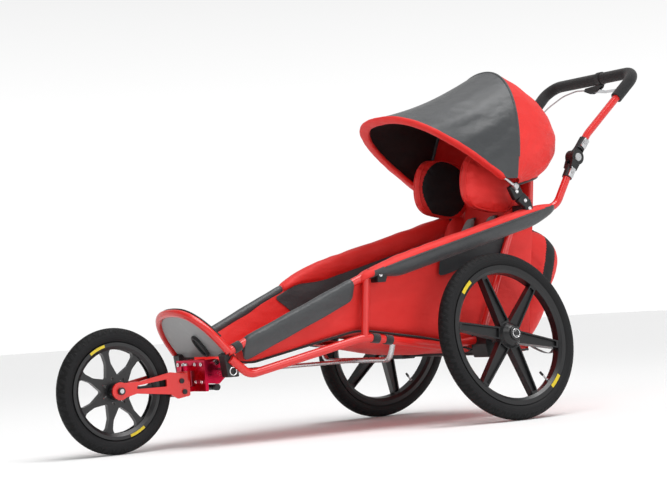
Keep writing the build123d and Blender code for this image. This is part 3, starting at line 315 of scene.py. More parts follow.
def tread(name, centre, axis_tilt, radius, blocks):
    """Tyre rubber: slanted tread blocks on the crown, walls with moulded rings and dust, and
    painted shade darkening the grooves.
    """
    tyre = Finish(name, (0.007, 0.007, 0.008), 0.72, Specular_IOR_Level=0.25)
    place = tyre.place(centre, turn=(0, axis_tilt, 0))
    x, y, z = tyre.split(place)
    turn = y.maths("ARCTAN2", z)
    out = (y * y + z * z).power(0.5)
    crown = out.between(radius - 0.017, radius - 0.011)
    across = x.maths("ABSOLUTE")
    slant = (turn * blocks + across * 260).sine()
    second = (turn * blocks * 0.5 - across * 190).sine()
    blocks_up = slant.between(-0.35, 0.15) * second.between(-0.9, -0.5)
    centre_groove = across.between(0.0012, 0.0024)
    rings = (out * (2 * pi / 0.0058)).sine().between(0.75, 0.95) * (1 - crown)
    height = crown * (blocks_up * centre_groove) + rings * 0.25
    grain = tyre.raise_by(tyre.noise(500, 2), 0.0002, 0.5)
    tyre.raise_by(height, 0.0016, 1.0, under=grain)
    dust = tyre.noise(22, 5, place, 0.6).between(0.45, 0.75)
    # Painted shade: the crown is darkened between the tread blocks and in the centre groove.
    groove_shade = crown * (1 - blocks_up * centre_groove)
    mixed = tyre.tint(dust * 0.3, (0.022, 0.021, 0.020))
    tyre.tint(groove_shade * 0.7, (0.002, 0.002, 0.002), mixed)
    tyre.feed("Roughness", dust * 0.15 + crown * 0.08 + 0.6)
    return tyre.material


RED = (0.72, 0.016, 0.012)
GREY = (0.040, 0.043, 0.046)
DARK_GREY = (0.014, 0.016, 0.019)
BLACK = (0.006, 0.006, 0.007)

# The fifth setting of woven sets how strongly the crease crests are lightened, a painted highlight.
red_cloth = woven("red_coated_nylon", RED, sheen=0.06)
red_tight = woven("red_stretched_nylon", RED, crease=0.0034, sheen=0.06)
red_padded = woven("red_padded_nylon", RED, crease=0.0050, crest_highlight=0.16, sheen=0.06)
grey_cloth = woven("grey_coated_nylon", GREY, 0.42, 0.004, 0.2, 0.15)
grey_tight = woven("grey_stretched_nylon", GREY, 0.38, 0.0028, 0.1, 0.12)
dark_cloth = woven("dark_grey_nylon", DARK_GREY, 0.5, 0.003, 0.1, 0.1)
black_cloth = woven("black_spacer_mesh", BLACK, 0.8, 0.003, 0.1, 0.05)
black_lining = woven("black_lining", (0.010, 0.006, 0.006), 0.75, 0.003, 0.1, 0.0)
black_strap = webbing("black_webbing", BLACK)
grey_strap = webbing("grey_webbing", (0.22, 0.23, 0.225))
red_paint = painted("red_powder_coat", (0.68, 0.014, 0.011))
silver = metal("drawn_aluminium", (0.60, 0.61, 0.62), 0.28, (0.1, 1, 1))
steel = metal("turned_steel", (0.58, 0.58, 0.59), 0.26)
red_anodised = metal("red_anodised", (0.55, 0.012, 0.05), 0.3)
chrome = metal("polished_ring", (0.8, 0.8, 0.81), 0.12, dull=0.1)
dark_metal = painted("black_oxide_steel", (0.012, 0.012, 0.013), 0.42, 0.15, Metallic=0.3)
black_plastic = moulded("black_nylon_plastic", (0.008, 0.008, 0.009))
mag_plastic = moulded("glass_filled_nylon", (0.006, 0.006, 0.007), 0.34, 0.00010, 0.1)
hub_plastic = moulded("hub_cover_plastic", (0.014, 0.015, 0.016), 0.3, 0.0001, 0.2)
grey_plastic = moulded("grey_deck_plastic", (0.30, 0.31, 0.31), 0.5, 0.0003)
button_plastic = moulded("button_plastic", (0.42, 0.43, 0.44), 0.4, 0.0001)
yellow_film = moulded("yellow_label_film", (0.66, 0.50, 0.015), 0.35, 0.00005)
grip_foam = foam("black_grip_foam", (0.007, 0.007, 0.008))
cable_jacket = moulded("cable_jacket", (0.42, 0.40, 0.41), 0.35, 0.00005, 0.2)

CAD_FINISHES = {
    red_paint: (
        "upper_rails lower_rails frame_posts foot_hoop backrest_frame handlebar_tube"
        " fork_plates fork_bridge"
    ),
    red_anodised: "cross_tube_clamps steering_head",
    steel: "kingpin stub_axles front_bearings rear_bearings_left rear_bearings_right elbow_pins",
    dark_metal: "axle_brackets axle_beam fork_fasteners canopy_hinges",
    black_plastic: "frame_brackets tracking_damper elbow_lowers elbow_uppers brake_clamp",
    hub_plastic: "release_button_left release_button_right hub_cap_left hub_cap_right",
    mag_plastic: "front_rim rear_rim_left rear_rim_right",
    grey_plastic: "footplate",
    button_plastic: "elbow_button_left elbow_button_right",
    grip_foam: "grip",
    cable_jacket: "brake_cable brake_cable_lower",
    silver: (
        "cross_tube adjuster_rod front_axle brake_lever keel_strut canopy_front_bow canopy_seam_bow"
    ),
}


def wear(piece, *finishes):
    """Give a piece its finishes, the first one all over."""
    piece.data.materials.clear()
    for finish in finishes:
        piece.data.materials.append(finish)
    return piece


for finish, names in CAD_FINISHES.items():
    for name in names.split():
        wear(frame["nodes"][name], finish)

hubs = {hand: (side * AXLE[0], AXLE[1], AXLE[2]) for side, hand in HANDS}
for side, hand in HANDS:
    rubber = tread(f"rear_tread_{hand}", hubs[hand], side * CAMBER, 0.25, 84)
    wear(frame["nodes"][f"rear_tyre_{hand}"], rubber)
wear(frame["nodes"]["front_tyre"], tread("front_tread", tuple(FORK_AXLE), 0, 0.171, 58))


# ---------------- making pieces
def clear_choice():
    for thing in bpy.context.selected_objects:
        thing.select_set(False)


def take(piece):
    """Make one piece the active and only selected one."""
    clear_choice()
    piece.select_set(True)
    bpy.context.view_layer.objects.active = piece
    return piece


def placed(name, data):
    """New object in the scene for a mesh, a curve, a light or a camera."""
    thing = bpy.data.objects.new(name, data)
    bpy.context.collection.objects.link(thing)
    return thing


def apply_all(piece):
    take(piece)
    for change in list(piece.modifiers):
        bpy.ops.object.modifier_apply(modifier=change.name)
    return piece


def rounded(piece, levels=1):
    """Apply a piece's modifiers, with a subdivision after them."""
    if levels:
        smooth = piece.modifiers.new("rounding", "SUBSURF")
        smooth.levels = smooth.render_levels = levels
    return apply_all(piece)


def bevelled(piece, width, segments=2):
    edge = piece.modifiers.new("edge", "BEVEL")
    edge.width = width
    edge.segments = segments
    return apply_all(piece)


def close_ends(piece):
    """Close a mesh's open ends and turn its faces outwards."""
    shape = bmesh.new()
    shape.from_mesh(piece.data)
    bmesh.ops.holes_fill(shape, edges=shape.edges, sides=0)
    bmesh.ops.recalc_face_normals(shape, faces=shape.faces)
    shape.to_mesh(piece.data)
    shape.free()
    return piece


def settle(piece):
    """Put a piece's place into its mesh, so the object sits at the origin."""
    take(piece)
    bpy.ops.object.transform_apply(location=True, rotation=True, scale=True)
    return piece


def smoothed(piece, angle=40):
    take(piece)
    bpy.ops.object.shade_smooth_by_angle(angle=radians(angle))


def finished(piece, slot, *finishes, body="chassis", smooth=40):
    """Give a piece its finish, smooth its faces and fasten it to its body."""
    if finishes:
        wear(piece, *finishes)
    smoothed(piece, smooth)
    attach(piece, body)
    return piece


def surface(name, rows, closed=False):
    """Mesh of quads through rows of points; closed joins each row's last point to its first."""
    points = [point for row in rows for point in row]
    count = len(rows[0])
    spans = count if closed else count - 1
    faces = []
    for row in range(0, (len(rows) - 1) * count, count):
        for column in range(spans):
            after = (column + 1) % count
            faces.append((row + column, row + after, row + count + after, row + count + column))
    mesh = bpy.data.meshes.new(name)
    mesh.from_pydata([tuple(point) for point in points], [], faces)
    return placed(name, mesh)


def thicken(piece, thickness, inner_finish=0, levels=1):
    """Turn a sheet into cloth with a thickness, then round it."""
    solid = piece.modifiers.new("thickness", "SOLIDIFY")
    solid.thickness = thickness
    solid.offset = 0
    solid.material_offset = inner_finish
    solid.use_quality_normals = True
    return rounded(piece, levels)


def outward(piece):
    take(piece)
    bpy.ops.object.mode_set(mode="EDIT")
    bpy.ops.mesh.select_all(action="SELECT")
    bpy.ops.mesh.remove_doubles(threshold=0.00002)
    bpy.ops.mesh.normals_make_consistent(inside=False)
    bpy.ops.object.mode_set(mode="OBJECT")
    return piece


def cord_path(name, points, radius, cyclic=False, sides=5):
    """Round cord along a smooth line led by control points, as a mesh."""
    curve = bpy.data.curves.new(name, "CURVE")
    curve.dimensions = "3D"
    curve.resolution_u = 8
    curve.use_fill_caps = not cyclic
    line = curve.splines.new("NURBS")
    line.points.add(len(points) - 1)
    for spot, point in zip(line.points, points):
        spot.co = (*point, 1)
    line.order_u = 3
    line.use_endpoint_u = not cyclic
    line.use_cyclic_u = cyclic
    curve.bevel_depth = radius
    curve.bevel_resolution = sides
    take(placed(name, curve))
    bpy.ops.object.convert(target="MESH")
    return outward(bpy.context.object)


def cord(name, points, radius, slot, finish, smooth=40, **shape):
    """Cord, tube or piping on the frame, with its finish."""
    return finished(cord_path(name, points, radius, **shape), slot, finish, smooth=smooth)


def ribbon(name, points, across):
    """Flat strap along a smooth line, with the same width vector all the way."""
    steps = [across * share / 6 for share in (-3, -1, 1, 3)]
    rows = [[spot + step for step in steps] for spot in rounded_line(points, 5)]
    return thicken(surface(name, rows), STRAP_THICKNESS)


def rounded_line(points, steps):
    """Points along a smooth line through the given ones."""
    points = [Vector(point) for point in points]
    spots = []
    for index in range(len(points) - 1):
        before = points[max(index - 1, 0)]
        first, second = points[index], points[index + 1]
        after = points[min(index + 2, len(points) - 1)]
        for step in range(steps):
            t = step / steps
            spots.append(
                0.5
                * (
                    2 * first
                    + (second - before) * t
                    + (2 * before - 5 * first + 4 * second - after) * t * t
                    + (3 * first - before - 3 * second + after) * t**3
                )
            )
    spots.append(points[-1])
    return spots


def rounded_outline(corners, rounds=3):
    """Closed outline with its corners cut round and round again."""
    outline = [Vector((*corner, 0)) for corner in corners]
    for _ in range(rounds):
        cut = []
        for first, second in zip(outline, outline[1:] + outline[:1]):
            cut += [first.lerp(second, 0.25), first.lerp(second, 0.75)]
        outline = cut
    return outline


def pillow(name, corners, x_low, x_high, fullness=3.0, rings=12, rounds=3):
    """Closed crowned form from a side outline of (back, up) points and its two side positions."""
    outline = rounded_outline(corners, rounds)
    middle = sum(outline, Vector((0, 0, 0))) / len(outline)
    half = (x_high - x_low) / 2
    rows = []
    for ring in range(rings + 1):
        share = -cos(pi * (0.06 + 0.88 * ring / rings))
        width = (1 - abs(share) ** fullness) ** (1 / fullness)
        x = x_low + half * (1 + share / cos(pi * 0.06))
        rows.append([at(x, *(middle + (spot - middle) * width).xy) for spot in outline])
    return close_ends(surface(name, rows, closed=True))


def inflate(piece, cap, pressure=4, voxel=0.006):
    """Swell a padded form as cloth under pressure, with a cap on how far a point may move."""
    shape = piece.modifiers.new("even_mesh", "REMESH")
    shape.mode = "VOXEL"
    shape.voxel_size = voxel
    apply_all(piece)
    start = [vertex.co.copy() for vertex in piece.data.vertices]
    cloth = piece.modifiers.new("swelling", "CLOTH")
    cloth.settings.use_pressure = True
    cloth.settings.uniform_pressure_force = pressure
    cloth.settings.effector_weights.gravity = 0
    cloth.settings.quality = 5
    cloth.point_cache.frame_start = 1
    cloth.point_cache.frame_end = SWELL_FRAMES
    for step in range(1, SWELL_FRAMES + 1):
        bpy.context.scene.frame_set(step)
    apply_all(piece)
    for vertex, rest in zip(piece.data.vertices, start):
        moved = vertex.co - rest
        if moved.length > cap:
            vertex.co = rest + moved * (cap / moved.length)
    bpy.context.scene.frame_set(1)
    return rounded(piece)


def ruffle(piece, depth, scale, stretch=(1, 1, 1)):
    """Push a cloth surface in and out a little, as slack cloth lies."""
    normals = [vertex.normal.copy() for vertex in piece.data.vertices]
    for vertex, normal in zip(piece.data.vertices, normals):
        spot = Vector(c * s * scale for c, s in zip(vertex.co, stretch))
        vertex.co += normal * depth * noise.noise(spot)
    return piece


def cylinder(name, middle, axis, radius, length, sides):
    clear_choice()
    turn = Vector(axis).to_track_quat("Z", "Y").to_euler()
    bpy.ops.mesh.primitive_cylinder_add(
        vertices=sides, radius=radius, depth=length, location=middle, rotation=turn
    )
    piece = bpy.context.object
    piece.name = name
    return settle(piece)


def disc(name, place, axis, radius, height, rim=0.25, sides=32, socket=0.0):
    """Button, bolt head or washer with a rounded edge, standing on a place along an axis."""
    out = Vector(axis).normalized()
    piece = cylinder(name, Vector(place) + out * height / 2, axis, radius, height, sides)
    if socket:
        bpy.ops.object.mode_set(mode="EDIT")
        shape = bmesh.from_edit_mesh(piece.data)
        for face in shape.faces:
            face.select_set(face.normal.dot(out) > 0.9)
        bmesh.update_edit_mesh(piece.data)
        bpy.ops.mesh.inset(thickness=radius * (1 - socket))
        bpy.ops.mesh.extrude_region_move(
            TRANSFORM_OT_translate={"value": tuple(-out * height * 0.5)}
        )
        bpy.ops.object.mode_set(mode="OBJECT")
    return bevelled(piece, min(radius, height) * rim)


def screw_head(name, place, side, radius, height, finish=chrome, body="chassis"):
    """Socket screw's head on a face that looks to one side."""
    head = disc(name, place, (side, 0, 0), radius, height, socket=0.5)
    return finished(head, "steel", finish, body=body)


def block(name, place, size, edge, turn=(0, 0, 0)):
    """Box with rounded edges, at its place and turned about its middle."""
    clear_choice()
    bpy.ops.mesh.primitive_cube_add(size=1, location=place, rotation=turn)
    piece = bpy.context.object
    piece.name = name
    piece.scale = size
    return bevelled(settle(piece), edge, 3)


def joined(name, pieces):
    take(pieces[0])
    for piece in pieces[1:]:
        piece.select_set(True)
    bpy.ops.object.join()
    whole = bpy.context.object
    whole.name = name
    return whole


def squarer(value, power):
    """A sine or cosine bent towards a squarer outline, its sign kept."""
    return copysign(abs(value) ** power, value)


def back_outline(*corners):
    return [on_back(*corner) for corner in corners]


def rail_point(back, side, out=0.0, up=0.0):
    return at(side * (along(RAIL_X, back) + out), back, along(RAIL_UP, back) + up)


# ---------------- canopy
PIVOT_BACK = CANOPY_PIVOT[1] - REAR_Y
PIVOT_UP = CANOPY_PIVOT[2]
RIM_ARCH = (147.0, 0.420, 0.224, 2.7)
SEAM_ARCH = (78.0, 0.390, 0.222, 2.2)
REAR_ARCHES = (
    SEAM_ARCH,
    (66.0, 0.386, 0.220, 2.2),
    (54.0, 0.382, 0.216, 2.25),
    (42.0, 0.376, 0.210, 2.3),
    (32.0, 0.362, 0.202, 2.4),
    (24.0, 0.325, 0.193, 2.6),
    (18.0, 0.262, 0.184, 2.8),
    (13.0, 0.198, 0.176, 3.0),
)
ARCH_STEPS = 56
CREASE_DEPTH = 0.0034


def arch_point(arch, share, inward=0.0):
    """Point on an arch about the canopy's hinge, from its right foot (0) to its left (1)."""
    angle, length, half, squareness = arch
    turn = pi * (1 - 0.015 - 0.97 * share)
    side, rise = cos(turn), sin(turn)
    x = squarer(side, 2 / squareness) * (half - inward)
    reach = rise ** (2 / squareness) * (length - inward)
    lean = radians(angle)
    return at(x, PIVOT_BACK + reach * cos(lean), PIVOT_UP + reach * sin(lean))


def arch_row(arch, inward=0.0):
    return [arch_point(arch, step / ARCH_STEPS, inward) for step in range(ARCH_STEPS + 1)]


def stretched_rows(first, last, spans, sag):
    """Cloth stretched between two arches, drawn in between them and creased near the hinges."""
    rows = []
    for span in range(spans + 1):
        share = span / spans
        row = []
        for step, (start, end) in enumerate(zip(arch_row(first), arch_row(last))):
            spot = start.lerp(end, share)
            height = sin(pi * step / ARCH_STEPS)
            middle = Vector((0, spot.y, PIVOT_UP + 0.02))
            slack = sin(pi * share)
            crease = CREASE_DEPTH * sin(step * 1.15 + 3 * share) * (1 - height) ** 0.5
            row.append(spot + (middle - spot).normalized() * slack * (sag * height + crease))
        rows.append(row)
    return rows


canopy_top = surface("canopy_top", stretched_rows(RIM_ARCH, SEAM_ARCH, 14, 0.020))
wear(canopy_top, grey_tight, black_lining)
thicken(canopy_top, CLOTH_THICKNESS, inner_finish=1)
smoothed(canopy_top)
arch_point(SEAM_ARCH, 0.5)
arch_point(RIM_ARCH, 0.5)
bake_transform(canopy_top)
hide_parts("canopy_front_cloth", "canopy_middle_cloth")

rear_rows = []
for first, last in zip(REAR_ARCHES, REAR_ARCHES[1:]):
    rear_rows += stretched_rows(first, last, 3, 0.0015)[:-1]
rear_rows.append(arch_row(REAR_ARCHES[-1]))
canopy_back = surface("canopy_back", rear_rows)
ruffle(canopy_back, 0.004, 9, (1, 0.6, 1.2))
thicken(canopy_back, CLOTH_THICKNESS)
finished(canopy_back, "red_fabric", red_cloth)
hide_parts("canopy_rear_cloth")


def banded_arch(name, arch, width, thickness, out=0.0):
    """Stuffed hem that follows an arch, from its outer edge inwards."""
    lean = radians(arch[0])
    forward = Vector((0, -sin(lean), cos(lean)))
    rows = []
    for step in range(ARCH_STEPS + 1):
        outer = arch_point(arch, step / ARCH_STEPS, -out)
        inner = arch_point(arch, step / ARCH_STEPS, width)
        middle, reach = outer.lerp(inner, 0.5), (outer - inner) / 2
        ring = []
        for turn in (2 * pi * side / 12 for side in range(12)):
            lift = forward * thickness / 2 * squarer(sin(turn), 0.7)
            ring.append(middle + reach * squarer(cos(turn), 0.7) + lift)
        rows.append(ring)
    return rounded(close_ends(surface(name, rows, closed=True)))


hem = banded_arch("canopy_rim_hem", RIM_ARCH, 0.030, 0.015, 0.002)
ruffle(hem, 0.0012, 40)
finished(hem, "red_fabric", red_cloth, body="canopy_front")

seam_line = arch_row(SEAM_ARCH, 0.003)[3:-3]
seam = cord("canopy_seam_sleeve", seam_line, 0.0052, "grey_fabric", grey_cloth)
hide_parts("canopy_seam_bow")
trim_line = arch_row(REAR_ARCHES[-1], -0.001)[::2]
cord("canopy_rear_trim", trim_line, 0.005, "black_fabric", black_strap)

# ---------------- tub
LEG_BACKS = (-0.826, -0.785, -0.72, -0.65, -0.58, -0.51, -0.45)
SEAT_BACKS = (KNEE, -0.35, -0.28, -0.21, -0.14, -0.07, 0.0, 0.06, 0.12, 0.17, 0.203)
LINING_BACKS = (
    *(-0.50, -0.46, -0.43, -0.40, -0.34, -0.27, -0.20, -0.13, -0.06),
    *(0.0, 0.06, 0.12, 0.17),
)
SIDE_SHARES = (1.0, 0.94, 0.85, 0.7, 0.55, 0.4, 0.26, 0.14, 0.06)


def tub_side(back, share, side, inward=0.0):
    """Point on the tub's wall, from its floor (0) to the rail (1)."""
    floor = along(FLOOR_UP, back)
    top_back = back * 1.235 if back > 0 else back
    rail = along(RAIL_UP, top_back)
    half = along(TUB_HALF, back)
    reach = along(RAIL_X, top_back) - 0.0135
    corner = 0.020 * (1 - min(share / 0.14, 1)) ** 2
    belly = 0.004 * sin(pi * share)
    x = half - corner + (reach - half) * share**1.5 - belly - inward
    return at(side * x, back + (top_back - back) * share, floor + (rail - 0.003 - floor) * share)


tub_rows = []
for back in LEG_BACKS + SEAT_BACKS:
    right = [tub_side(back, share, -1) for share in SIDE_SHARES]
    left = [tub_side(back, share, 1) for share in reversed(SIDE_SHARES)]
    floor, half = along(FLOOR_UP, back), along(TUB_HALF, back) - 0.024
    sag = 0.006 if back < -0.1 else 0.0
    shares = (-1, -0.66, -0.33, 0, 0.33, 0.66, 1)
    base = [at(half * share, back, floor - sag * (1 - share * share)) for share in shares]
    tub_rows.append(right + base + left)
tub_shell = surface("tub_shell", tub_rows)
ruffle(tub_shell, 0.0035, 7, (1, 1, 2))
thicken(tub_shell, HEAVY_CLOTH_THICKNESS, levels=2)
finished(tub_shell, "red_fabric", red_tight)
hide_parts("tub")

wall_rows = []
for share in [step / 14 for step in range(15)]:
    back, up = on_back(0.002 + 0.60 * share, 0.0)
    half = 0.150 if share > 0.66 else 0.150 + 0.016 * cos(pi * share / 1.32)
    shares = [quarter / 4 for quarter in range(-4, 5)]
    wall_rows.append([at(half * q, back + 0.004 * (1 - q * q), up) for q in shares])
back_wall = surface("backrest_wall", wall_rows)
thicken(back_wall, HEAVY_CLOTH_THICKNESS)
finished(back_wall, "red_fabric", red_cloth)

for side, hand in HANDS:
    rows = []
    for back in LINING_BACKS:
        lean = 0.10 + 0.80 * min(max((-0.40 - back) / 0.1, 0), 1)
        shares = [lean + (0.97 - lean) * step / 6 for step in range(7)]
        rows.append([tub_side(back, share, side, 0.0042) for share in shares])
    lining = surface(f"seat_side_lining_{hand}", rows)
    thicken(lining, 0.0014)
    finished(lining, "grey_fabric", grey_cloth)

    foot_line = [tub_side(back, 0.02, side, -0.009) for back in LEG_BACKS + SEAT_BACKS]
    cord(f"tub_piping_{hand}", foot_line, 0.0034, "black_fabric", black_strap)

    rows = []
    for back in (-0.15, -0.10, -0.05, 0.0, 0.05, 0.09, 0.125):
        tilt = 0.012 if back == -0.15 else 0.0
        row = []
        for drop in (0, 0.02, 0.045, 0.066):
            row.append(
                rail_point(back + tilt * (1 - drop / 0.08), side, -0.002 - 0.1 * drop, -0.02 - drop)
            )
        rows.append(row)
    flap = surface(f"side_flap_{hand}", rows)
    thicken(flap, 0.0022)
    finished(flap, "grey_fabric", dark_cloth)

sling_rows = []
for step in range(9):
    back = -0.415 + 0.37 * step / 8
    up = along(LOWER_UP, back) - 0.008
    hang = 0.010 + 0.010 * sin(pi * step / 8)
    shares = (-1, -0.9, -0.6, -0.3, 0, 0.3, 0.6, 0.9, 1)
    sling_rows.append([at(0.172 * q, back, up - hang * (1 - q**4)) for q in shares])
sling = surface("belly_sling", sling_rows)
ruffle(sling, 0.004, 11)
thicken(sling, CLOTH_THICKNESS)
finished(sling, "red_fabric", red_tight)


# ---------------- bolsters over the rails
BOLSTER_STEPS = 44
BOLSTER_RIPPLE = 0.10


def bolster(name, side, front, rear, half, rise, drop):
    """Padded roll over a rail with a fuller top and a hem along its outer side."""
    rows = []
    for step in range(BOLSTER_STEPS + 1):
        share = step / BOLSTER_STEPS
        back = front + (rear - front) * share
        ends = (1 - abs(2 * share - 1) ** 14) ** 0.5
        tail = 1 - 0.55 * max(0, (share - 0.86) / 0.14) ** 1.5
        head = 1 - 0.72 * min(max(0, (0.19 - share) / 0.13), 1)
        ring = []
        for turn in (2 * pi * corner / 22 for corner in range(22)):
            across, high = squarer(cos(turn), 0.75), squarer(sin(turn), 0.8)
            place = Vector((step * 0.55, across * 1.3, high * 1.3 + side * 5))
            wave = 1 + BOLSTER_RIPPLE * noise.noise(place)
            tall = rise * wave * tail * (0.45 + 0.55 * head) if high > 0 else drop * head * tail
            out = across * half * (0.55 + 0.45 * ends) * wave
            ring.append(rail_point(back, side, out, high * tall * (0.6 + 0.4 * ends)))
        rows.append(ring)
    piece = rounded(close_ends(surface(name, rows, closed=True)))
    wear(piece, red_padded, grey_cloth)
    for face in piece.data.polygons:
        back = face.center.y - REAR_Y
        low = face.center.z - along(RAIL_UP, back)
        outer = face.center.x * side - along(RAIL_X, back)
        face.material_index = 1 if outer > 0.004 and low < 0.008 and back > -0.40 else 0
    finished(piece, "grey_fabric", smooth=60)
    return piece


near_bolster = bolster("side_bolster_left", 1, -0.445, 0.318, 0.026, 0.026, 0.038)
bolster("side_bolster_right", -1, -0.472, 0.318, 0.028, 0.034, 0.034)
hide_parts("side_bolsters")
for side, hand in HANDS:
    seam_points = [rail_point(back / 100, side, 0.0275, 0.006) for back in range(-36, 29, 6)]
    cord(f"bolster_seam_{hand}", seam_points, 0.0016, "grey_fabric", grey_cloth)

# ---------------- sleeves on the leg tubes
SLEEVE_HALF_RING = (
    (0.009, 0.0145),
    (0.0155, 0.006),
    (0.0165, -0.002),
    (0.014, -0.014),
    (0.0085, -0.028),
    (0.0045, -0.040),
    (0.0022, -0.050),
)
sleeve_ring = [(0.0, 0.0165), *SLEEVE_HALF_RING, (0.0, -0.0515)]
sleeve_ring += [(-x, z) for x, z in reversed(SLEEVE_HALF_RING)]
for side, hand in HANDS:
    rows = []
    for step in range(19):
        back = -0.822 + 0.362 * step / 18
        close = 0.93 if step in (0, 18) else 1.0
        rows.append([rail_point(back, side, x * close, z * close) for x, z in sleeve_ring])
    sleeve = rounded(close_ends(surface(f"leg_sleeve_{hand}", rows, closed=True)))
    ruffle(sleeve, 0.0016, 14)
    finished(sleeve, "grey_fabric", grey_cloth)
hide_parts("leg_sleeves")

# ---------------- seat, backrest, headrest, harness
seat_pad = pillow(
    "seat_pad",
    [
        (-0.142, 0.254),
        (-0.03, 0.233),
        (0.02, 0.228),
        (0.160, 0.228),
        (0.160, 0.254),
        (0.03, 0.254),
        (-0.142, 0.288),
    ],
    -0.126,
    0.126,
    6,
)
inflate(seat_pad, 0.006)
finished(seat_pad, "red_fabric", red_padded, smooth=70)
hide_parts("seat_cushion")

back_pad = pillow(
    "back_pad",
    back_outline((0.052, 0.006), (0.584, 0.006), (0.584, 0.034), (0.40, 0.046), (0.052, 0.040)),
    -0.128,
    0.128,
    7,
)
inflate(back_pad, 0.006)
finished(back_pad, "red_fabric", red_padded, smooth=70)
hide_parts("backrest")

WING = back_outline(
    (0.430, 0.034), (0.600, 0.034), (0.612, 0.130), (0.600, 0.238), (0.440, 0.242), (0.425, 0.140)
)
WING_PATCH = Vector(on_back(0.515, 0.137))
WING_PATCH_RADIUS = 0.090
for side, hand in HANDS:
    low, high = sorted((side * 0.095, side * 0.135))
    wing = pillow(f"headrest_wing_{hand}", WING, low, high, 5, rounds=2)
    inflate(wing, 0.004, voxel=0.005)
    wear(wing, red_padded, black_cloth)
    for face in wing.data.polygons:
        apart = (Vector((face.center.y - REAR_Y, face.center.z)) - WING_PATCH).length
        inside = face.normal.x * side < -0.55
        face.material_index = 1 if inside and apart < WING_PATCH_RADIUS else 0
    finished(wing, "black_fabric", smooth=70)
    rim = rounded_outline(WING, 2)
    middle = sum(rim, Vector((0, 0, 0))) / len(rim)
    for index, x in enumerate((0.1015, 0.1285)):
        edge = [at(side * x, *(middle + (spot - middle) * 0.985).xy) for spot in rim[::2]]
        name = f"wing_piping_{index}_{hand}"
        cord(name, edge, 0.0022, "red_fabric", red_padded, cyclic=True)
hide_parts("headrest_wings")

SUPPORT = back_outline(
    (0.07, 0.004), (0.450, 0.004), (0.440, 0.085), (0.32, 0.125), (0.16, 0.135), (0.07, 0.120)
)
for side, hand in HANDS:
    low, high = sorted((side * 0.112, side * 0.146))
    support = pillow(f"side_support_{hand}", SUPPORT, low, high, 4, rounds=2)
    inflate(support, 0.005)
    finished(support, "red_fabric", red_padded, smooth=70)


def strap(name, line, across, flat, held, rests_on):
    """Webbing strap on the frame; its cut size and what it lies on are given but not used."""
    piece = finished(ribbon(name, line, across), "black_fabric", black_strap)
    return piece


def on_pad(x, up_wall, forward):
    """Point in front of the back wall, up it and forward of it."""
    return at(x, *on_back(up_wall, forward))


SHOULDER_X = 0.052
SHOULDER_RUN = ((0.43, 0.052), (0.37, 0.080), (0.29, 0.104), (0.21, 0.108))
SHOULDER_PAD = back_outline(
    (0.425, 0.056), (0.36, 0.086), (0.25, 0.108), (0.25, 0.122), (0.36, 0.100), (0.425, 0.070)
)
for side, hand in HANDS:
    line = [on_pad(side * SHOULDER_X, *spot) for spot in SHOULDER_RUN]
    line.append(on_pad(side * 0.022, 0.165, 0.100))
    name, across = f"shoulder_strap_{hand}", Vector((0.026, 0, 0))
    strap(name, line, across, (0.026, 0.284), "stretched", "back_pad")
    low, high = side * SHOULDER_X - 0.021, side * SHOULDER_X + 0.021
    pad = pillow(f"shoulder_pad_{hand}", SHOULDER_PAD, low, high, 5, rounds=2)
    finished(pad, "grey_fabric", grey_strap)
    line = [
        at(side * 0.126, 0.150, 0.262),
        at(side * 0.10, 0.12, 0.292),
        on_pad(side * 0.055, 0.135, 0.090),
        on_pad(side * 0.02, 0.15, 0.100),
    ]
    run, face_out = Vector((-0.106 * side, -0.028, 0.085)), Vector((0, -0.8, 0.6))
    across = run.cross(face_out).normalized() * 0.024
    strap(f"lap_strap_{hand}", line, across, (0.024, 0.150), "stretched", "seat_pad")
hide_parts("harness")
buckle = block("harness_buckle", on_pad(0, 0.16, 0.104), (0.052, 0.020, 0.046), 0.006)
finished(buckle, "black_plastic", black_plastic)
button = disc("harness_buckle_button", on_pad(0, 0.16, 0.114), (0, -1, 0), 0.010, 0.003)
finished(button, "red_fabric", red_paint)
line = [at(0, 0.04, 0.262), at(0, 0.05, 0.290), on_pad(0, 0.125, 0.106), on_pad(0, 0.15, 0.104)]
strap("crotch_strap", line, Vector((0.026, 0, 0)), (0.026, 0.126), "stretched", "seat_pad")

# ---------------- foot strap and edge trim of the foot hoop
PLATE_UP = Vector((0, -0.093, 0.115)).normalized()
PLATE_OUT = Vector((0, -PLATE_UP.z, PLATE_UP.y))
PLATE_FOOT = at(0, -0.865, 0.257)


def on_plate(x, rise, out):
    return PLATE_FOOT + Vector((x, 0, 0)) + PLATE_UP * rise + PLATE_OUT * out


LOOP_MIDDLE = (0.034, 0.029)
LOOP_REACH = (0.015, 0.034)
loop_points = []
for turn in (2 * pi * step / 28 for step in range(28)):
    across = LOOP_MIDDLE[0] + LOOP_REACH[0] * cos(turn)
    loop_points.append(on_plate(across, LOOP_MIDDLE[1] + LOOP_REACH[1] * sin(turn), 0.0075))
foot_loop = cord(
    "foot_strap_loop", loop_points, 0.0042, "black_fabric", black_strap, cyclic=True
)
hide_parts("foot_strap")


def oval_plate(name, half, low, high, squareness, out, thickness, centre=0.0):
    """Flat plate with an oval outline, lying on the footplate's plane."""
    rows = []
    middle, reach = (low + high) / 2, (high - low) / 2
    for step in range(25):
        rise = middle - reach * cos(pi * step / 24)
        share = abs(rise - middle) / reach
        width = half * max(1 - share**squareness, 0.0004) ** (1 / squareness)
        rows.append([on_plate(centre + width * q / 4, rise, out) for q in range(-4, 5)])
    return thicken(surface(name, rows), thickness, levels=0)


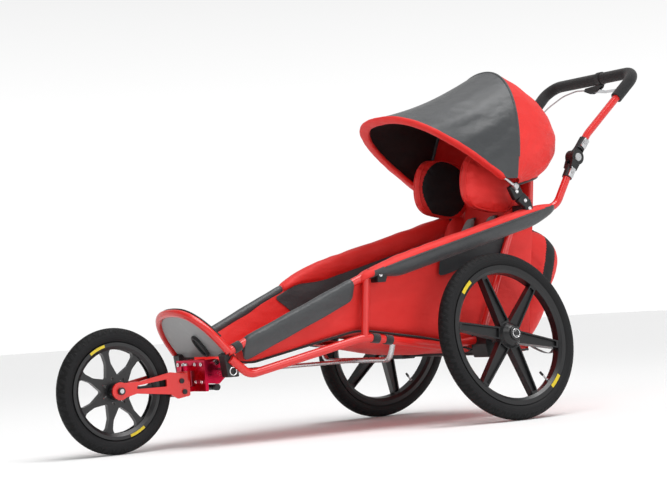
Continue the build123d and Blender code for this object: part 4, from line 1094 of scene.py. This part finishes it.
hoop_line = []
for turn in (pi * step / 14 for step in range(15)):
    across = squarer(cos(turn), 0.72) * (0.146 - 0.016 * sin(turn))
    hoop_line.append(on_plate(across, 0.148 * sin(turn) ** 0.84, 0))
hoop = cord("foot_hoop_tube", hoop_line, 0.0108, "red_paint", red_paint, smooth=60, sides=6)
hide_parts("foot_hoop")
trim_line = [spot - PLATE_OUT * 0.0118 + PLATE_UP * 0.004 for spot in hoop_line[1:-1]]
cord("foot_hoop_trim", trim_line, 0.0032, "black_plastic", black_plastic)
plate = oval_plate("foot_plate", 0.131, -0.128, 0.142, 2.3, 0, 0.004)
shape = bmesh.new()
shape.from_mesh(plate.data)
bmesh.ops.bisect_plane(
    shape,
    geom=shape.verts[:] + shape.edges[:] + shape.faces[:],
    plane_co=on_plate(0, -0.014, 0),
    plane_no=-PLATE_UP,
    clear_outer=True,
)
shape.to_mesh(plate.data)
shape.free()
close_ends(plate)
finished(plate, "grey_plastic", grey_plastic)
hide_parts("footplate")
web = oval_plate("foot_strap_web", 0.0145, -0.006, 0.064, 3.0, 0.0036, 0.003, 0.034)
finished(web, "black_fabric", black_strap)

# ---------------- bag behind the backrest
bag_body = pillow(
    "rear_bag",
    [
        *back_outline((0.02, -0.012), (0.22, -0.012), (0.40, -0.012)),
        (0.285, 0.585),
        (0.365, 0.565),
        (0.430, 0.505),
        (0.418, 0.430),
        (0.372, 0.340),
        (0.315, 0.235),
        (0.275, 0.205),
    ],
    -0.116,
    0.116,
    4,
    16,
)
inflate(bag_body, 0.008, pressure=3)
ruffle(bag_body, 0.007, 13, (1, 1.3, 0.8))
wear(bag_body, red_cloth, black_cloth)
for face in bag_body.data.polygons:
    back, up = face.center.y - REAR_Y, face.center.z
    on_side = abs(face.center.x) > 0.088 and up > 0.36
    in_stripe = 0.345 < back + (0.5 - up) * 0.35 < 0.392
    face.material_index = 1 if on_side and in_stripe else 0
finished(bag_body, "red_fabric", smooth=70)
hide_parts("bag")


def on_bag(x, back, up):
    """Nearest point of the bag's surface, a little proud of it."""
    _, spot, normal, _ = bag_body.closest_point_on_mesh(at(x, back, up))
    return spot + normal * 0.0014


STRAP_RUN = ((0.262, 0.585), (0.325, 0.578), (0.385, 0.545), (0.424, 0.492), (0.415, 0.420))
for side, hand in reversed(HANDS):
    line = [on_bag(side * 0.062, back, up) for back, up in STRAP_RUN]
    name, across = f"bag_strap_{hand}", Vector((0.022, 0, 0))
    strap(name, line, across, (0.022, 0.255), "laid", "rear_bag")
zip_line = [on_bag(x / 100, 0.345, 0.60) for x in range(-8, 9, 2)]
cord("bag_zip", zip_line, 0.0026, "black_fabric", black_plastic)


# ---------------- webbing bands round the tubes
def band(name, centre, run, radius, width):
    """Webbing band round a tube."""
    piece = bevelled(cylinder(name, centre, run, radius, width, 28), 0.0012)
    return finished(piece, "black_fabric", black_strap)


RAIL_RUN = rail_point(0.1, 0) - rail_point(-0.1, 0)
LEG_RUN = rail_point(-0.6, 0) - rail_point(-0.7, 0)
LOWER_RUN = Vector((0, 0.283, -0.043))
HEAD_FACE = -0.9037
HEAD_BOLTS = ((0.030, 0.178), (0.062, 0.178), (0.030, 0.226), (0.062, 0.226))
for side, hand in HANDS:
    for index, back in enumerate((-0.398, -0.352)):
        spot = at(side * along(LOWER_X, back), back, along(LOWER_UP, back))
        band(f"sling_band_{index}_{hand}", spot, LOWER_RUN, 0.0142, 0.026)
    band(f"toe_band_{hand}", rail_point(-0.838, side), LEG_RUN, 0.0145, 0.024)
    band(f"bolster_band_{hand}", rail_point(-0.400, side), RAIL_RUN, 0.0145, 0.014)
    for index, back in enumerate((-0.378, -0.360)):
        spot = rail_point(back, side, 0.0178, -0.012 + 0.006 * index)
        screw_head(f"knee_screw_{index}_{hand}", spot, side, 0.0055, 0.0035)
    for index, (x, up) in enumerate(HEAD_BOLTS):
        spot = at(side * x, HEAD_FACE, up)
        bolt = disc(f"head_bolt_{index}_{hand}", spot, (0, -1, 0), 0.0058, 0.005, socket=0.5)
        finished(bolt, "steel", chrome)

line = [
    at(0.150, 0.262, 0.40),
    at(0.153, 0.30, 0.33),
    at(0.155, 0.33, 0.25),
    at(0.152, 0.31, 0.18),
    at(0.148, 0.24, 0.20),
    at(0.140, 0.19, 0.24),
]
strap("tether_strap", line, Vector((0.020, 0, 0)), (0.020, 0.375), "hung", "axle_brackets")

# ---------------- elbow plates and hinge screws
ARMS = (
    (Vector((0, -0.090, -0.149)).normalized(), "chassis"),
    (Vector((0, 0.063, 0.076)).normalized(), "handlebar"),
)
# Blocks of a canopy hinge as (back, up, depth, height, lean), and its screws as (back, up).
HINGE_BLOCKS = (
    (0.160, 0.682, 0.040, 0.046, 0.5),
    (0.186, 0.655, 0.036, 0.034, 0.9),
    (0.205, 0.634, 0.030, 0.040, 0.3),
)
HINGE_SCREWS = ((0.158, 0.680), (0.190, 0.652), (0.206, 0.628))
for side, hand in HANDS:
    pivot = Vector((side * 0.190, ELBOW[1], ELBOW[2]))
    for index, (arm, body) in enumerate(ARMS):
        tilt = atan2(arm.z, arm.y)
        place = pivot + arm * 0.056 + Vector((side * 0.0135, 0, 0))
        size, turn = (0.010, 0.034, 0.020), (tilt, 0, 0)
        plate = block(f"elbow_plate_{index}_{hand}", place, size, 0.003, turn)
        finished(plate, "silver_metal", silver, body=body)
        spot = place + Vector((side * 0.005, 0, 0))
        screw_head(f"elbow_screw_{index}_{hand}", spot, side, 0.005, 0.002, steel, body)
    blocks = []
    for back, up, deep, high, lean in HINGE_BLOCKS:
        place, size = at(side * 0.199, back, up), (0.020, deep, high)
        blocks.append(block(f"canopy_hinge_{hand}", place, size, 0.005, (lean, 0, 0)))
    place, size = at(side * 0.170, 0.208, 0.628), (0.060, 0.030, 0.026)
    blocks.append(block(f"canopy_hinge_arm_{hand}", place, size, 0.005))
    hinge = joined(f"canopy_hinge_{hand}", blocks)
    finished(hinge, "dark_metal", dark_metal)
    for index, spot in enumerate(HINGE_SCREWS):
        screw_head(f"hinge_screw_{index}_{hand}", at(side * 0.208, *spot), side, 0.006, 0.003)
    place = at(side * 0.2172, PIVOT_BACK, PIVOT_UP)
    knob = disc(f"canopy_knob_{hand}", place, (side, 0, 0), 0.0085, 0.003)
    finished(knob, "silver_metal", silver)

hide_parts("canopy_hinges")

# ---------------- rim labels and valves
HUB_FACE = 0.0412
TUBE_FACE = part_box("cross_tube")[1][0] + 0.007


def wheel_turn(centre, tilt):
    """From a wheel's own axes (x outwards along the axle) to the row frame."""
    return Matrix.Translation(Vector(centre)) @ Matrix.Rotation(tilt, 4, "Y")


def rim_label(name, place, out, inner, outer, middle, span, body):
    rows = []
    for step in range(13):
        turn = middle + span * (step / 12 - 0.5)
        ring = [inner + (outer - inner) * part / 3 for part in range(4)]
        rows.append([place @ Vector((out, r * cos(turn), r * sin(turn))) for r in ring])
    label = thicken(surface(name, rows), 0.0004, levels=0)
    return finished(label, "black_plastic", yellow_film, body=body)


def valve(name, place, radius, angle, body):
    """Valve stem with its knurled cap, pointing to the hub."""
    inward = -(place.to_3x3() @ Vector((0, cos(angle), sin(angle))))
    foot = place @ Vector((0, radius * cos(angle), radius * sin(angle)))
    stem = disc(f"{name}_stem", foot - inward * 0.002, inward, 0.0028, 0.024, 0.1, 16)
    nut = disc(f"{name}_nut", foot, inward, 0.005, 0.004, 0.2, 6)
    cap = disc(f"{name}_cap", foot + inward * 0.020, inward, 0.0038, 0.014, 0.3, 14)
    finished(joined(f"{name}_stem", [stem, nut]), "steel", steel, body=body)
    finished(cap, "black_plastic", black_plastic, body=body)


for side, hand in HANDS:
    tilt, body = -side * CAMBER, f"rear_wheel_{hand}"
    place = wheel_turn(hubs[hand], tilt)
    for index, turn in enumerate((radians(133), radians(313))):
        name = f"rim_label_{index}_{hand}"
        rim_label(name, place, side * 0.0198, 0.1975, 0.2080, turn, 0.24, body)
    valve(f"valve_{hand}", place, 0.187, radians(311), body)
    clear_choice()
    bpy.ops.mesh.primitive_torus_add(
        major_radius=0.0125,
        minor_radius=0.0014,
        major_segments=48,
        minor_segments=10,
        location=place @ Vector((HUB_FACE * side, 0, 0)),
        rotation=(0, pi / 2 + tilt, 0),
    )
    ring = bpy.context.object
    ring.name = f"hub_ring_{hand}"
    settle(ring)
    finished(ring, "steel", chrome, body=body)
    out, spot = (side, 0, 0), at(side * TUBE_FACE, *CROSS_TUBE)
    tube_end = disc(f"cross_tube_end_{hand}", spot, out, 0.0125, 0.010, 0.15, socket=0.72)
    finished(tube_end, "steel", chrome)
    spot = at(side * (TUBE_FACE + 0.0052), *CROSS_TUBE)
    bore = disc(f"cross_tube_bore_{hand}", spot, out, 0.0086, 0.0004)
    finished(bore, "black_plastic", black_plastic)
front_place = wheel_turn(FORK_AXLE, 0)
for index, turn in enumerate((radians(115), radians(296))):
    name = f"rim_label_{index}_front"
    rim_label(name, front_place, 0.0183, 0.1230, 0.1305, turn, 0.38, "front_wheel")
valve("valve_front", front_place, 0.113, radians(306), "front_wheel")

# ---------------- floor, light and camera
clear_choice()
bpy.ops.mesh.primitive_plane_add(size=40, location=(0, 0, -0.0005))
floor = bpy.context.object
floor.name = "floor"
floor_finish = Finish("pale_floor", (0.90, 0.90, 0.90), 0.95, Specular_IOR_Level=0.1)
wear(floor, floor_finish.material)

world = bpy.data.worlds.new("studio")
bpy.context.scene.world = world
world.use_nodes = True
sky = world.node_tree
direction = sky.nodes.new("ShaderNodeTexCoord")
height = sky.nodes.new("ShaderNodeSeparateXYZ")
brightness = sky.nodes.new("ShaderNodeMapRange")
sky.links.new(direction.outputs["Generated"], height.inputs[0])
sky.links.new(height.outputs[2], brightness.inputs["Value"])
for socket, value in (("From Min", 0.12), ("From Max", 0.55), ("To Min", 1.02), ("To Max", 0.22)):
    brightness.inputs[socket].default_value = value
sky.links.new(brightness.outputs[0], sky.nodes["Background"].inputs[1])
sky.nodes["Background"].inputs[0].default_value = (1, 1, 1, 1)


def softbox(name, place, target, size, power):
    light = bpy.data.lights.new(name, "AREA")
    light.shape = "RECTANGLE"
    light.size, light.size_y = size
    light.energy = power
    lamp = placed(name, light)
    lamp.location = place
    lamp.rotation_euler = (Vector(target) - Vector(place)).to_track_quat("-Z", "Y").to_euler()


softbox("key_softbox", (1.6, -1.8, 3.4), (0, 0, 0.5), (2.0, 2.0), 30)
softbox("side_softbox", (3.8, 0.6, 1.6), (0, 0.2, 0.5), (1.4, 2.0), 20)
softbox("top_softbox", (-1.4, 0.8, 3.4), (0, 0, 0.6), (2.4, 1.6), 12)
overhead = bpy.data.lights.new("overhead_light", "SUN")
overhead.energy = 2.15
overhead.angle = radians(40)
placed("overhead_light", overhead).rotation_euler = (radians(-14), radians(16), 0)

lens = bpy.data.cameras.new("studio_camera")
lens.lens = 93.216
lens.sensor_width = 36
lens.clip_end = 100
camera = placed("studio_camera", lens)
CAMERA_PLACE = at(4.16277, -3.35249, 0.34946)
RIGHT = Vector((0.57679, 0.81456, -0.06165)).normalized()
BACKWARDS = Vector((0.81433, -0.57932, -0.03548)).normalized()
UPWARDS = BACKWARDS.cross(RIGHT)
turned = Matrix((RIGHT, UPWARDS, BACKWARDS)).transposed().to_4x4()
camera.matrix_world = Matrix.Translation(CAMERA_PLACE) @ turned
bpy.context.scene.camera = camera
bpy.context.scene.view_settings.view_transform = "Standard"
